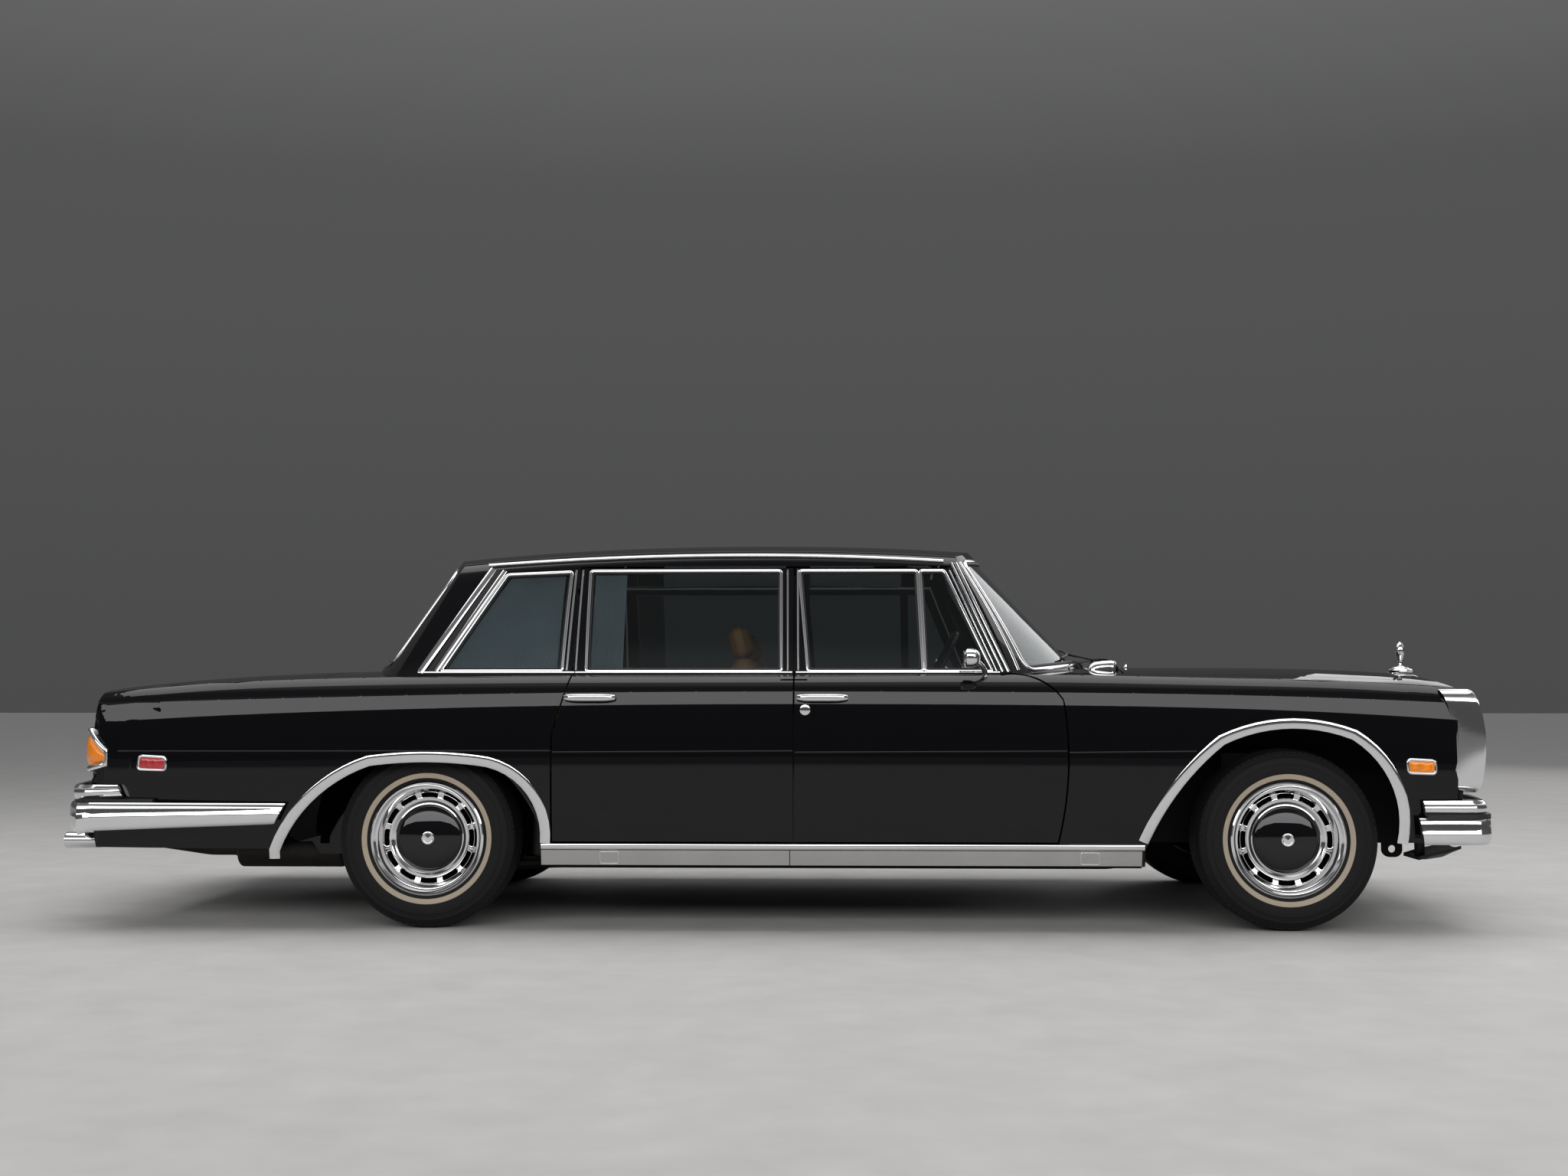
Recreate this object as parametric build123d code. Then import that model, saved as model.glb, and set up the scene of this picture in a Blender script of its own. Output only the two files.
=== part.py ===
from build123d import *
import os
from math import sqrt

# Full-size luxury sedan, millimetres. +X is the front, +Y the left side, +Z up.
# The origin is on the ground, on the centreline, halfway between the bumpers.

os.makedirs("parts", exist_ok=True)

# Driving dimensions
FRONT_END = 2770            # front bumper's foremost point
REAR_END = -2770            # rear bumper's rearmost point
WHEELBASE = 3200
REAR_AXLE_X = -1280
FRONT_AXLE_X = REAR_AXLE_X + WHEELBASE
TRACK_HALF = 793
TYRE_RADIUS = 335
RIM_RADIUS = 190
RIM_WIDTH = 168

SKIN = 25                   # fender, lid and roof panels with their inner frames
DOOR_INNER = 850            # inner face of the doors and body sides, from the centreline
PANEL_GAP = 7
DOOR_FLANGE = 6             # thin outer edge of a door's rear side
DOOR_STEP = 9               # the door's thick part ends this far ahead of that edge
SEAT_GAP = 0.3
GLASS = 5
GLASS_DEPTH = 9             # glass lies this far under the frames' outer face
FRAME_WALL = 30             # window frames and pillars
RAIL_WALL = 62              # roof side rails with the headlining

SIDE_BOTTOM = 240
SILL_TOP = 330              # doors end here, above the sill bead
BELT_Z = 950
TUMBLE_IN = 43              # lower edge of the side, inboard of the widest line
WIDEST_Z = 660

DOOR_FRONT_X = 1099         # front doors' front edge at its widest
DOOR_SPLIT_X = 94           # middle of the gap between front and rear doors
DOOR_REAR_X = -800
DOOR_TOP_Z = 1357

HOOD_REAR_X = 1340
HOOD_REAR_MIDDLE_X = 1385   # the hood's rear edge is an arc round the windscreen
HOOD_SIDE_REAR = 780
HOOD_SIDE_FRONT = 742
TRUNK_FRONT_X = -1730
TRUNK_SIDE = 690
NOSE_X = 2566               # face of the front panel
TAIL_X = -2566              # face of the tail panel
NOSE_HALF = 934
TAIL_HALF = 892
CORNER_RADIUS = 96

GRILLE_REAR_X = 2498
GRILLE_FRONT_X = 2706
GRILLE_HALF = 300
GRILLE_BOTTOM = 505
GRILLE_TOP = 985
SLATS = 11

KINGPIN_Y = 690
TAILPIPE_Y = -600
TAILPIPE_Z = 301
GRILLE_SEAT_Z = 905         # the radiator shell reaches up under the hood's front edge
STEERING_CENTRE = (693, 380, 958)
COLUMN_FALL = 27            # degrees, steering column below the horizontal
STEERING_RADIUS = 205

# Cross-sections of the lower body, one row each:
# x, half width at the widest line, height of the shoulder crease,
# height of the upper edge and height of the crown
BODY = [
    (-2660, 885, 831, 866, 898),
    (-2200, 935, 847, 911, 944),
    (-1700, 962, 860, 931, 966),
    (-900, 974, 876, 943, 976),
    (100, 975, 883, 946, 981),
    (1100, 975, 879, 945, 981),
    (1700, 972, 870, 934, 981),
    (2200, 958, 855, 920, 976),
    (2660, 930, 834, 886, 946),
]

# Cross-sections of the roof: x and height of its crown
ROOF = [(-1900, 1352), (-1240, 1432), (-700, 1472), (-76, 1487), (434, 1479), (900, 1452), (1500, 1396)]
BELT_HALF = 893
RAIL_HALF = 722
RAIL_DROP = 102
CROWN_HALF = 655
CROWN_DROP = 57

# Windscreen and rear window in plan, one row for each height:
# z, front at the centreline, rise of the front arc at SCREEN_Y, rear at the
# centreline and rise of the rear arc
SCREEN_Y = 1000
SCREENS = [(930, 1308, 530, -1658, 318), (1500, 767, 295, -1231, 295)]
FRONT_LEAN = 1.38           # offset along x for one of wall, on the slanted screens
REAR_LEAN = 1.25


def prism(points, low, high, shrink=0.0):
    """Side outline in (x, z), drawn between two distances from the centreline, both sides."""
    face = make_face(Polyline(*points, close=True))
    if shrink:
        face = offset(face, -shrink, kind=Kind.INTERSECTION)
    right = Pos(0, -low, 0) * extrude(Plane.XZ * face, amount=high - low)
    return right + mirror(right, about=Plane.XZ)


def side_prism(face_edges, low, high, side):
    """A closed side outline, drawn on one side only. side is 1 for left, -1 for right."""
    right = Pos(0, -low, 0) * extrude(Plane.XZ * make_face(face_edges), amount=high - low)
    return mirror(right, about=Plane.XZ) if side > 0 else right


def solid_box(x0, x1, y0, y1, z0, z1):
    return Pos((x0 + x1) / 2, (y0 + y1) / 2, (z0 + z1) / 2) * Box(x1 - x0, y1 - y0, z1 - z0)


def both(shape):
    return [shape, mirror(shape, about=Plane.XZ)]


def body_section(x, half, crease, edge, crown, inset):
    bottom = SIDE_BOTTOM if inset == 0 else SIDE_BOTTOM - 40
    low = (half - TUMBLE_IN - inset, bottom)
    widest = (half - inset, WIDEST_Z)
    shoulder = (half - 20 - inset, crease - 0.4 * inset)
    top = (half - 75 - 0.7 * inset, edge - inset)
    bulge = ((shoulder[0] + top[0]) / 2 + 6, (shoulder[1] + top[1]) / 2 + 6)
    flip = lambda point: (-point[0], point[1])
    edges = [
        Line(flip(low), low),
        ThreePointArc(low, widest, shoulder),
        ThreePointArc(shoulder, bulge, top),
        ThreePointArc(top, (0, crown - inset), flip(top)),
        ThreePointArc(flip(top), flip(bulge), flip(shoulder)),
        ThreePointArc(flip(shoulder), flip(widest), flip(low)),
    ]
    return Plane(origin=(x, 0, 0), x_dir=(0, 1, 0), z_dir=(1, 0, 0)) * make_face(edges)


def body_profile(inset):
    """Side silhouette that gives the body its tail and its nose."""
    floor = 150 if inset else SIDE_BOTTOM
    rear = TAIL_X + inset
    front = NOSE_X - inset
    edges = [
        ThreePointArc((rear + 26, 298), (rear - 8, 620), (rear + 50, 930)),
        Line((rear + 50, 930), (rear + 50, 1100)),
        Line((rear + 50, 1100), (front - 30, 1100)),
        Line((front - 30, 1100), (front - 30, 930)),
        ThreePointArc((front - 30, 930), (front, 640), (front - 50, 330)),
    ]
    if inset:
        edges += [Polyline((front - 50, 330), (front - 50, floor), (rear + 26, floor), (rear + 26, 298))]
    else:
        edges += [Polyline((front - 50, 330), (2290, 330), (2250, floor), (-1760, floor),
                           (-1800, 298), (rear + 26, 298))]
    return Pos(0, 1100, 0) * extrude(Plane.XZ * make_face(edges), amount=2200)


def body_plan(inset):
    """Seen from above: rounds the four corners of the body."""
    front = NOSE_X - inset
    rear = TAIL_X + inset
    half = [(1800, 1002), (front, NOSE_HALF - inset), (front, -NOSE_HALF + inset), (1800, -1002),
            (-1800, -1002), (rear, -TAIL_HALF + inset), (rear, TAIL_HALF - inset), (-1800, 1002)]
    face = make_face(Polyline(*half, close=True))
    corners = face.vertices()
    face = fillet(corners.filter_by_position(Axis.X, front - 1, front + 1), CORNER_RADIUS - inset)
    corners = face.vertices().filter_by_position(Axis.X, rear - 1, rear + 1)
    face = fillet(corners, CORNER_RADIUS - inset)
    return Pos(0, 0, 100) * extrude(face, amount=1100)


def body_form(inset):
    return loft([body_section(*row, inset) for row in BODY]) & body_profile(inset) & body_plan(inset)


def roof_section(x, crown, inset):
    low = (BELT_HALF - inset, 930)
    rail = (RAIL_HALF - inset, crown - RAIL_DROP)
    side = ((low[0] + rail[0]) / 2 + 8, (low[1] + rail[1]) / 2 + 8)
    corner = (RAIL_HALF - 24 - inset, crown - RAIL_DROP + 27)
    crown_edge = (CROWN_HALF - inset, crown - CROWN_DROP - inset)
    if inset:
        corner = (corner[0] + 4, corner[1] - 0.55 * inset)
        rail = (rail[0], rail[1] - 0.4 * inset)
    flip = lambda point: (-point[0], point[1])
    edges = [
        Line(flip(low), low),
        ThreePointArc(low, side, rail),
        ThreePointArc(rail, corner, crown_edge),
        ThreePointArc(crown_edge, (0, crown - inset), flip(crown_edge)),
        ThreePointArc(flip(crown_edge), flip(corner), flip(rail)),
        ThreePointArc(flip(rail), flip(side), flip(low)),
    ]
    return Plane(origin=(x, 0, 0), x_dir=(0, 1, 0), z_dir=(1, 0, 0)) * make_face(edges)


def screen_section(z, front, front_rise, rear, rear_rise, inset):
    front -= FRONT_LEAN * inset
    rear += REAR_LEAN * inset
    corner = [(front - front_rise, SCREEN_Y), (rear + rear_rise, SCREEN_Y)]
    flip = lambda point: (point[0], -point[1])
    edges = [
        ThreePointArc(flip(corner[0]), (front, 0), corner[0]),
        Line(corner[0], corner[1]),
        ThreePointArc(corner[1], (rear, 0), flip(corner[1])),
        Line(flip(corner[1]), flip(corner[0])),
    ]
    return Pos(0, 0, z) * make_face(edges)


def header_profile(inset):
    """Side outline that rounds the roof into the two screens."""
    edges = [
        Polyline((-1900, 900), (1500, 900), (1500, 930), (866 - inset, 1376)),
        ThreePointArc((866 - inset, 1376), (812 - inset, 1428 - 0.5 * inset), (740, 1463 - inset)),
        Polyline((740, 1463 - inset), (740, 1600), (-1240, 1600), (-1240, 1435 - inset)),
        ThreePointArc((-1240, 1435 - inset), (-1312 + inset, 1408 - 0.5 * inset), (-1362 + inset, 1340)),
        Line((-1362 + inset, 1340), (-1900, 900)),
    ]
    return Pos(0, 1100, 0) * extrude(Plane.XZ * make_face(edges), amount=2200)


def cabin_form(inset):
    roof = loft([roof_section(*row, inset) for row in ROOF])
    screens = loft([screen_section(*row, inset) for row in SCREENS], ruled=True)
    return roof & screens & header_profile(inset)


def front_door_outline(grow, step=0):
    """Edge of the front door: curved at the front, under the windscreen pillar."""
    rear = DOOR_SPLIT_X + PANEL_GAP / 2 - grow + step
    front = DOOR_FRONT_X + grow
    bottom = SILL_TOP - grow
    top = DOOR_TOP_Z + grow
    return [
        Line((rear, bottom), (front - 36, bottom)),
        ThreePointArc((front - 36, bottom), (front, 590), (front - 13, 850)),
        ThreePointArc((front - 13, 850), (front - 70, 908 + 0.5 * grow), (front - 233, 942 + grow)),
        Line((front - 233, 942 + grow), (front - 412, top)),
        Line((front - 412, top), (rear, top)),
        Line((rear, top), (rear, bottom)),
    ]


def rear_door_outline(grow, step=0):
    front = DOOR_SPLIT_X - PANEL_GAP / 2 + grow
    rear = DOOR_REAR_X - grow + step
    bottom = SILL_TOP - grow
    top = DOOR_TOP_Z + grow
    return [
        Line((rear, bottom), (front, bottom)),
        Line((front, bottom), (front, top)),
        Line((front, top), (rear + 72, top)),
        Line((rear + 72, top), (rear + 66, 949)),
        Line((rear + 66, 949), (rear, 722)),
        Line((rear, 722), (rear, bottom)),
    ]


# Side windows: name, then corners as (x, z)
WINDOWS = {
    "front": [(151, 964), (569, 964), (557, 1340), (118, 1340)],
    "vent": [(591, 964), (826, 964), (662, 1340), (579, 1340)],
    "rear": [(-682, 964), (40, 964), (36, 1340), (-686, 1340)],
    "quarter": [(-1226, 966), (-784, 966), (-770, 1337), (-1013, 1327)],
}


def window_prism(name, shrink=0.0):
    """Straight cut through one side window, both sides of the car."""
    return prism(WINDOWS[name], 500, 1100, shrink)


def screen_prism(x0, x1, low_half, low_z, low_mid_z, top_half, top_z, top_mid_z, shrink=0.0):
    """Opening of the windscreen or the rear window, seen along the car."""
    low = (low_half - shrink, low_z + shrink)
    top = (top_half - shrink, top_z - shrink)
    flip = lambda point: (-point[0], point[1])
    edges = [
        ThreePointArc(flip(low), (0, low_mid_z + shrink), low),
        Line(low, top),
        ThreePointArc(top, (0, top_mid_z - shrink), flip(top)),
        Line(flip(top), flip(low)),
    ]
    face = Plane(origin=(x0, 0, 0), x_dir=(0, 1, 0), z_dir=(1, 0, 0)) * make_face(edges)
    return extrude(face, amount=x1 - x0)


WINDSCREEN = (560, 1500, 806, 966, 1000, 640, 1382, 1412)
REAR_WINDOW = (-1800, -1100, 700, 990, 1002, 596, 1352, 1376)

TRIM = 7                    # mouldings stand this far out of the skin

outer = body_form(0)
trim_layer = body_form(-TRIM) - outer
inner = body_form(SKIN)
shell = outer - inner
slab = outer - solid_box(-2700, 2700, -DOOR_INNER, DOOR_INNER, 0, 1200)
body_flange = slab - body_form(DOOR_FLANGE)
cabin_outer = cabin_form(0)
cabin_frame_wall = cabin_outer - cabin_form(FRAME_WALL)
cabin_rail_wall = cabin_outer - cabin_form(RAIL_WALL)
cabin_flange = cabin_outer - cabin_form(DOOR_FLANGE)
cabin_trim_layer = cabin_form(-TRIM) - cabin_outer
glass_layer = cabin_form(GLASS_DEPTH) - cabin_form(GLASS_DEPTH + GLASS)
side_windows = {name: window_prism(name) for name in WINDOWS}
windscreen_cut = screen_prism(*WINDSCREEN)
rear_window_cut = screen_prism(*REAR_WINDOW)

front_door_clear = [side_prism(front_door_outline(PANEL_GAP), 400, 1100, side) for side in (1, -1)]
rear_door_clear = [side_prism(rear_door_outline(PANEL_GAP), 400, 1100, side) for side in (1, -1)]
door_clear = front_door_clear + rear_door_clear


def rear_arch(grow=0.0):
    """Outline of the rear wheel arch in (x, z)."""
    return [
        Line((-1824 - grow, 240), (-1824 - grow, 290)),
        ThreePointArc((-1824 - grow, 290), (-1690, 482 + grow), (-1480, 608 + grow)),
        ThreePointArc((-1480, 608 + grow), (-1280, 622 + grow), (-1080, 610 + grow)),
        ThreePointArc((-1080, 610 + grow), (-905 + grow, 520 + grow), (-846 + grow, 300)),
        Line((-846 + grow, 300), (-846 + grow, 240)),
        Line((-846 + grow, 240), (-1824 - grow, 240)),
    ]


def front_arch(grow=0.0):
    return [
        Line((1385 - grow, 200), (1385 - grow, 305)),
        ThreePointArc((1385 - grow, 305), (1500 - 0.7 * grow, 512 + 0.7 * grow), (1672, 690 + grow)),
        ThreePointArc((1672, 690 + grow), (1915, 748 + grow), (2140, 708 + grow)),
        ThreePointArc((2140, 708 + grow), (2262 + 0.7 * grow, 580 + 0.7 * grow), (2304 + grow, 330)),
        Line((2304 + grow, 330), (2304 + grow, 200)),
        Line((2304 + grow, 200), (1385 - grow, 200)),
    ]


WHEELHOUSE_IN = 588
WHEELHOUSE_WALL = 10


def wheelhouse(grow):
    """Outline of the rear wheelhouse, over the tyre and behind the arch."""
    low = 250 + (-5 if grow else 0)
    rear = REAR_AXLE_X - 580 - grow
    front = REAR_AXLE_X + 466 + grow
    return [
        ThreePointArc((rear, 300), (REAR_AXLE_X - 40, 735 + grow), (front, 300)),
        Polyline((front, 300), (front, low), (rear, low), (rear, 300)),
    ]


def arch_cuts(outline, low):
    return [side_prism(outline(), low, 1100, side) for side in (1, -1)]


rear_arch_cut = arch_cuts(rear_arch, 600)
front_arch_cut = arch_cuts(front_arch, 400)


def side_band(side, x0, x1, y0, z0=0, z1=1600):
    low, high = (y0, 1100) if side > 0 else (-1100, -y0)
    return solid_box(x0, x1, low, high, z0, z1)


HOOD_LOW_Z = 860


def hood_plan(grow):
    """The hood seen from above, on the ground; its rear edge is curved round the windscreen."""
    rear = HOOD_REAR_X - grow
    half = HOOD_SIDE_REAR + grow
    front_half = HOOD_SIDE_FRONT + grow
    middle = HOOD_REAR_MIDDLE_X - grow
    return make_face([
        Polyline((rear, -half), (2700, -front_half), (2700, front_half), (rear, half)),
        ThreePointArc((rear, half), (middle, 0), (rear, -half)),
    ])


def make_hood():
    panel = shell & Pos(0, 0, HOOD_LOW_Z) * extrude(hood_plan(0), amount=300)
    return panel - solid_box(NOSE_X - SKIN - 70, 2700, -GRILLE_HALF - 1, GRILLE_HALF + 1, 0, GRILLE_SEAT_Z)


def hood_clear():
    return Pos(0, 0, HOOD_LOW_Z - PANEL_GAP) * extrude(hood_plan(PANEL_GAP), amount=400)


COWL_HALF = HOOD_SIDE_REAR


def make_fender(side):
    panel = shell & side_band(side, 850, 2700, HOOD_SIDE_FRONT - 2)
    panel -= hood_clear()
    panel -= solid_box(800, HOOD_REAR_X + 10, -COWL_HALF - SEAT_GAP, COWL_HALF + SEAT_GAP, 800, 1200)
    panel -= solid_box(NOSE_X - 60, 2700, -1000, 1000, 0, 1200)
    panel -= front_door_clear[0 if side > 0 else 1]
    panel -= front_arch_cut[0 if side > 0 else 1]
    panel -= solid_box(800, DOOR_FRONT_X + 8, -1100, 1100, 0, 880)
    panel -= solid_box(800, 1384, -1100, 1100, 0, SILL_TOP - PANEL_GAP + SEAT_GAP)
    return panel - cabin_outer


def make_quarter(side):
    index = 0 if side > 0 else 1
    panel = shell & side_band(side, -2700, -700, TRUNK_SIDE + PANEL_GAP)
    panel -= solid_box(-2700, TAIL_X + 60, -1000, 1000, 0, 1200)
    wall = (slab & side_band(side, -1000, -700, DOOR_INNER))
    panel = panel + wall
    panel -= rear_door_clear[index]
    panel -= rear_arch_cut[index]
    rocker_space = solid_box(-850, -700, -1100, 1100, 0, SILL_TOP - PANEL_GAP + SEAT_GAP)
    panel -= rocker_space
    panel -= cabin_outer
    house = side_prism(wheelhouse(0), WHEELHOUSE_IN, 1100, side)
    house -= side_prism(wheelhouse(-WHEELHOUSE_WALL), WHEELHOUSE_IN + WHEELHOUSE_WALL, 1150, side)
    house -= solid_box(REAR_AXLE_X - 130, REAR_AXLE_X + 130, -700, 700, 200, 500)
    return panel + ((house & outer) - rocker_space)


def make_front_panel():
    panel = shell & solid_box(NOSE_X - 60 + 0.3, 2700, -1000, 1000, 0, 1200)
    panel -= hood_clear()
    panel -= solid_box(2300, 2800, -GRILLE_HALF - PANEL_GAP, GRILLE_HALF + PANEL_GAP,
                       GRILLE_BOTTOM - PANEL_GAP, 1200)
    return panel


def make_tail_panel():
    panel = shell & solid_box(-2700, TAIL_X + 60 - SEAT_GAP, -1000, 1000, 0, 1200)
    panel -= solid_box(-2700, TAIL_X + 80, TAILPIPE_Y - 42, TAILPIPE_Y + 42, 200, TAILPIPE_Z + 40)
    panel -= trunk_box(PANEL_GAP)
    for buffer in both(solid_box(TAIL_X - 4, TAIL_X + 14, 380, 420, TRUNK_LOW_Z - 20, TRUNK_LOW_Z - SEAT_GAP)):
        panel += buffer
    return panel


TRUNK_LOW_Z = 655


def trunk_box(grow):
    return solid_box(-2800, TRUNK_FRONT_X + grow, -TRUNK_SIDE - grow, TRUNK_SIDE + grow,
                     TRUNK_LOW_Z - grow, 1200)


def make_trunk_lid():
    return shell & trunk_box(0)


POST_ROOM = 50              # half length of the doors' recess round the centre post
POST_HALF = 36
POST_OUT_Y = 930


def make_door(side, outline, windows):
    """A door with its window frame: a thick part, and a thin flange along its rear edge."""
    thick = side_prism(outline(0, DOOR_STEP), 400, 1100, side)
    edge = side_prism(outline(0), 400, 1100, side)
    door = (slab & thick) + (cabin_frame_wall & thick) + (body_flange & edge) + (cabin_flange & edge)
    for name in windows:
        door -= side_windows[name]
    post = side_band(side, DOOR_SPLIT_X - POST_ROOM, DOOR_SPLIT_X + POST_ROOM, 0, 0, BELT_Z - 20)
    return door - (post - side_band(side, -1000, 1200, POST_OUT_Y))


def make_cabin_frame():
    """Roof, pillars, roof rails, centre posts and the deck behind the rear window."""
    frame = cabin_frame_wall + (cabin_rail_wall & solid_box(-2000, 1500, -1000, 1000, DOOR_TOP_Z + PANEL_GAP, 1600))
    for clear in door_clear:
        frame -= clear
    frame -= side_windows["quarter"]
    frame -= windscreen_cut
    frame -= rear_window_cut
    post = cabin_form(FRAME_WALL + PANEL_GAP) - cabin_form(FRAME_WALL + PANEL_GAP + 34)
    post &= solid_box(DOOR_SPLIT_X - POST_HALF, DOOR_SPLIT_X + POST_HALF, -1000, 1000, 930, 1400)
    for slab_space in both(solid_box(DOOR_SPLIT_X - 40, DOOR_SPLIT_X + 40, 844, 900, 900, 960)):
        post -= slab_space
    frame += post
    foot = solid_box(DOOR_SPLIT_X - POST_HALF, DOOR_SPLIT_X + POST_HALF, 822, 918,
                     SILL_TOP - PANEL_GAP + SEAT_GAP, 923)
    foot += solid_box(DOOR_SPLIT_X - POST_HALF, DOOR_SPLIT_X + POST_HALF, 822, 844, 915, 965)
    deck_half = TRUNK_SIDE + PANEL_GAP - SEAT_GAP
    deck = shell & solid_box(TRUNK_FRONT_X + PANEL_GAP, -1100, -deck_half, deck_half, 900, 1200)
    frame += deck
    for part in both(foot):
        frame += part
    return frame


VENT_HALF = 520
VENT_CLEAR = 22             # the intake stands this far ahead of the windscreen


def make_vent():
    """Air intake that stands on the scuttle, ahead of the windscreen."""
    outline = make_face([
        Polyline((1345, 930), (1238, 930), (1240, 966)),
        ThreePointArc((1240, 966), (1262, 998), (1330, 1004)),
        ThreePointArc((1330, 1004), (1350, 992), (1345, 930)),
    ])
    return Pos(0, VENT_HALF, 0) * extrude(Plane.XZ * outline, amount=2 * VENT_HALF) - cabin_form(-VENT_CLEAR)


vent = make_vent()


def make_cowl():
    """Scuttle panel round the windscreen, with its air intake."""
    cowl = shell & solid_box(866, HOOD_REAR_MIDDLE_X, -COWL_HALF, COWL_HALF, 800, 1200)
    cowl -= hood_clear()
    return cowl - cabin_outer + (vent - inner)


def make_fixed_glass():
    panes = [glass_layer & screen_prism(*WINDSCREEN, shrink=SEAT_GAP)]
    panes.append(glass_layer & screen_prism(*REAR_WINDOW, shrink=SEAT_GAP))
    panes.append(glass_layer & window_prism("quarter", SEAT_GAP))
    return panes


def make_door_glass(side, names):
    band = side_band(side, -2000, 2000, 300)
    return [glass_layer & window_prism(name, SEAT_GAP) & band for name in names]


FLOOR_Z = 240
FLOOR = 10
TUNNEL_HALF = 150
TUNNEL_TOP = 410
HEEL_X = -960
AXLE_FLOOR_Z = 480
BOOT_FLOOR_Z = 390
FIREWALL_X = 1150
FIREWALL_LAP = 2
BULKHEAD_X = -1150


def make_floor_pan():
    """Floor with its tunnel, heel board, boot floor, bulkhead, firewall and rockers."""
    inside = WHEELHOUSE_IN - 1
    house_front = REAR_AXLE_X + 468
    lid_z = 916
    floor = solid_box(HEEL_X, FIREWALL_X, -inside, inside, FLOOR_Z - FLOOR, FLOOR_Z + 2)
    floor += solid_box(house_front, FIREWALL_X, -DOOR_INNER - 20, DOOR_INNER + 20, FLOOR_Z - FLOOR, FLOOR_Z + 2)
    floor += solid_box(HEEL_X, FIREWALL_X, -TUNNEL_HALF, TUNNEL_HALF, FLOOR_Z - FLOOR, TUNNEL_TOP)
    heel = solid_box(HEEL_X - FLOOR, HEEL_X, -inside, inside, FLOOR_Z - FLOOR, AXLE_FLOOR_Z)
    over_axle = solid_box(-1640, HEEL_X, -inside, inside, AXLE_FLOOR_Z - FLOOR, AXLE_FLOOR_Z)
    over_axle += solid_box(BULKHEAD_X - FLOOR, BULKHEAD_X, -inside, inside, AXLE_FLOOR_Z - FLOOR, lid_z)
    step = solid_box(-1640, -1640 + FLOOR, -inside, inside, BOOT_FLOOR_Z - FLOOR, AXLE_FLOOR_Z)
    boot = solid_box(-2528, -1630, -inside, inside, BOOT_FLOOR_Z - FLOOR, BOOT_FLOOR_Z)
    boot += solid_box(-2440, -1875, -850, 850, BOOT_FLOOR_Z - FLOOR, BOOT_FLOOR_Z)
    firewall = solid_box(FIREWALL_X - FIREWALL_LAP, FIREWALL_X + FLOOR, -DOOR_INNER, DOOR_INNER, FLOOR_Z - FLOOR, lid_z)
    pan = floor + heel + over_axle + step + boot + firewall
    pan -= solid_box(HEEL_X - 20, FIREWALL_X + 50, -TUNNEL_HALF + FLOOR, TUNNEL_HALF - FLOOR, 0,
                     TUNNEL_TOP - FLOOR)
    rocker = slab & solid_box(-842, 1381, -1100, 1100, 200, SILL_TOP - PANEL_GAP)
    for part in both(solid_box(house_front, 1381, 846, 880, FLOOR_Z - FLOOR, SILL_TOP - PANEL_GAP)):
        rocker += part
    for x0, x1 in ((DOOR_REAR_X + 100, DOOR_SPLIT_X - POST_HALF - SEAT_GAP),
                   (DOOR_SPLIT_X + POST_HALF + SEAT_GAP, DOOR_FRONT_X - 80)):
        for seal in both(solid_box(x0, x1, DOOR_INNER - 12, DOOR_INNER - SEAT_GAP, FLOOR_Z, SILL_TOP + 30)):
            rocker += seal
    return pan + rocker


APRON_Y = 452
APRON = 8
TOW_EYE = (2440, APRON_Y - 28, 264)
TOW_EYE_RADIUS = 15


def make_inner_fenders():
    """Engine bay walls, the shelves out to the fenders and the radiator support."""
    wall = solid_box(FIREWALL_X + FLOOR + SEAT_GAP, 2500, APRON_Y, APRON_Y + APRON, 330, 854)
    shelf = solid_box(FIREWALL_X + FLOOR + SEAT_GAP, 2440, APRON_Y, 876, 846, 854)
    rail = solid_box(FIREWALL_X + FLOOR + SEAT_GAP, 2500, APRON_Y - 60, APRON_Y + 2, 290, 400)
    support = solid_box(2440, GRILLE_REAR_X - 8, -APRON_Y, APRON_Y, 330, 400)
    support += solid_box(2440, GRILLE_REAR_X - 8, -APRON_Y, APRON_Y, 790, 854)
    support += solid_box(2450, 2490, -330, 330, 395, 805)
    wall -= solid_box(FRONT_AXLE_X - 150, FRONT_AXLE_X + 150, APRON_Y - 5, APRON_Y + 20, 402, 640)
    eye = solid_box(2400, 2480, APRON_Y - 34, APRON_Y - 22, 232, 300)
    eye = fillet(eye.edges().filter_by(Axis.Y).group_by(Axis.Z)[0], 30)
    eye -= Pos(TOW_EYE) * Rot(90, 0, 0) * Cylinder(TOW_EYE_RADIUS, 60)
    buffer = Pos(0, 0, -SEAT_GAP) * (inner & (Pos(2380, 640, 900) * Cylinder(14, 100)))
    body = support
    for piece in (wall, shelf, rail, eye, buffer):
        for one in both(piece):
            body += one
    return body


def make_engine():
    block = solid_box(1330, 2180, -190, 190, 300, 700)
    heads = solid_box(1420, 2130, -330, 330, 560, 800)
    box = Pos(1255, 0, 345) * Rot(0, 90, 0) * Cylinder(120, 170)
    engine = block + heads + box
    return fillet(engine.edges().filter_by(Axis.X).filter_by(GeomType.LINE), 18)


def along(path, radius):
    """A round bar along a line or an arc."""
    return sweep(Plane(origin=path @ 0, z_dir=path % 0) * Circle(radius), path=path)


PIPE_RADIUS = 27


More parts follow.
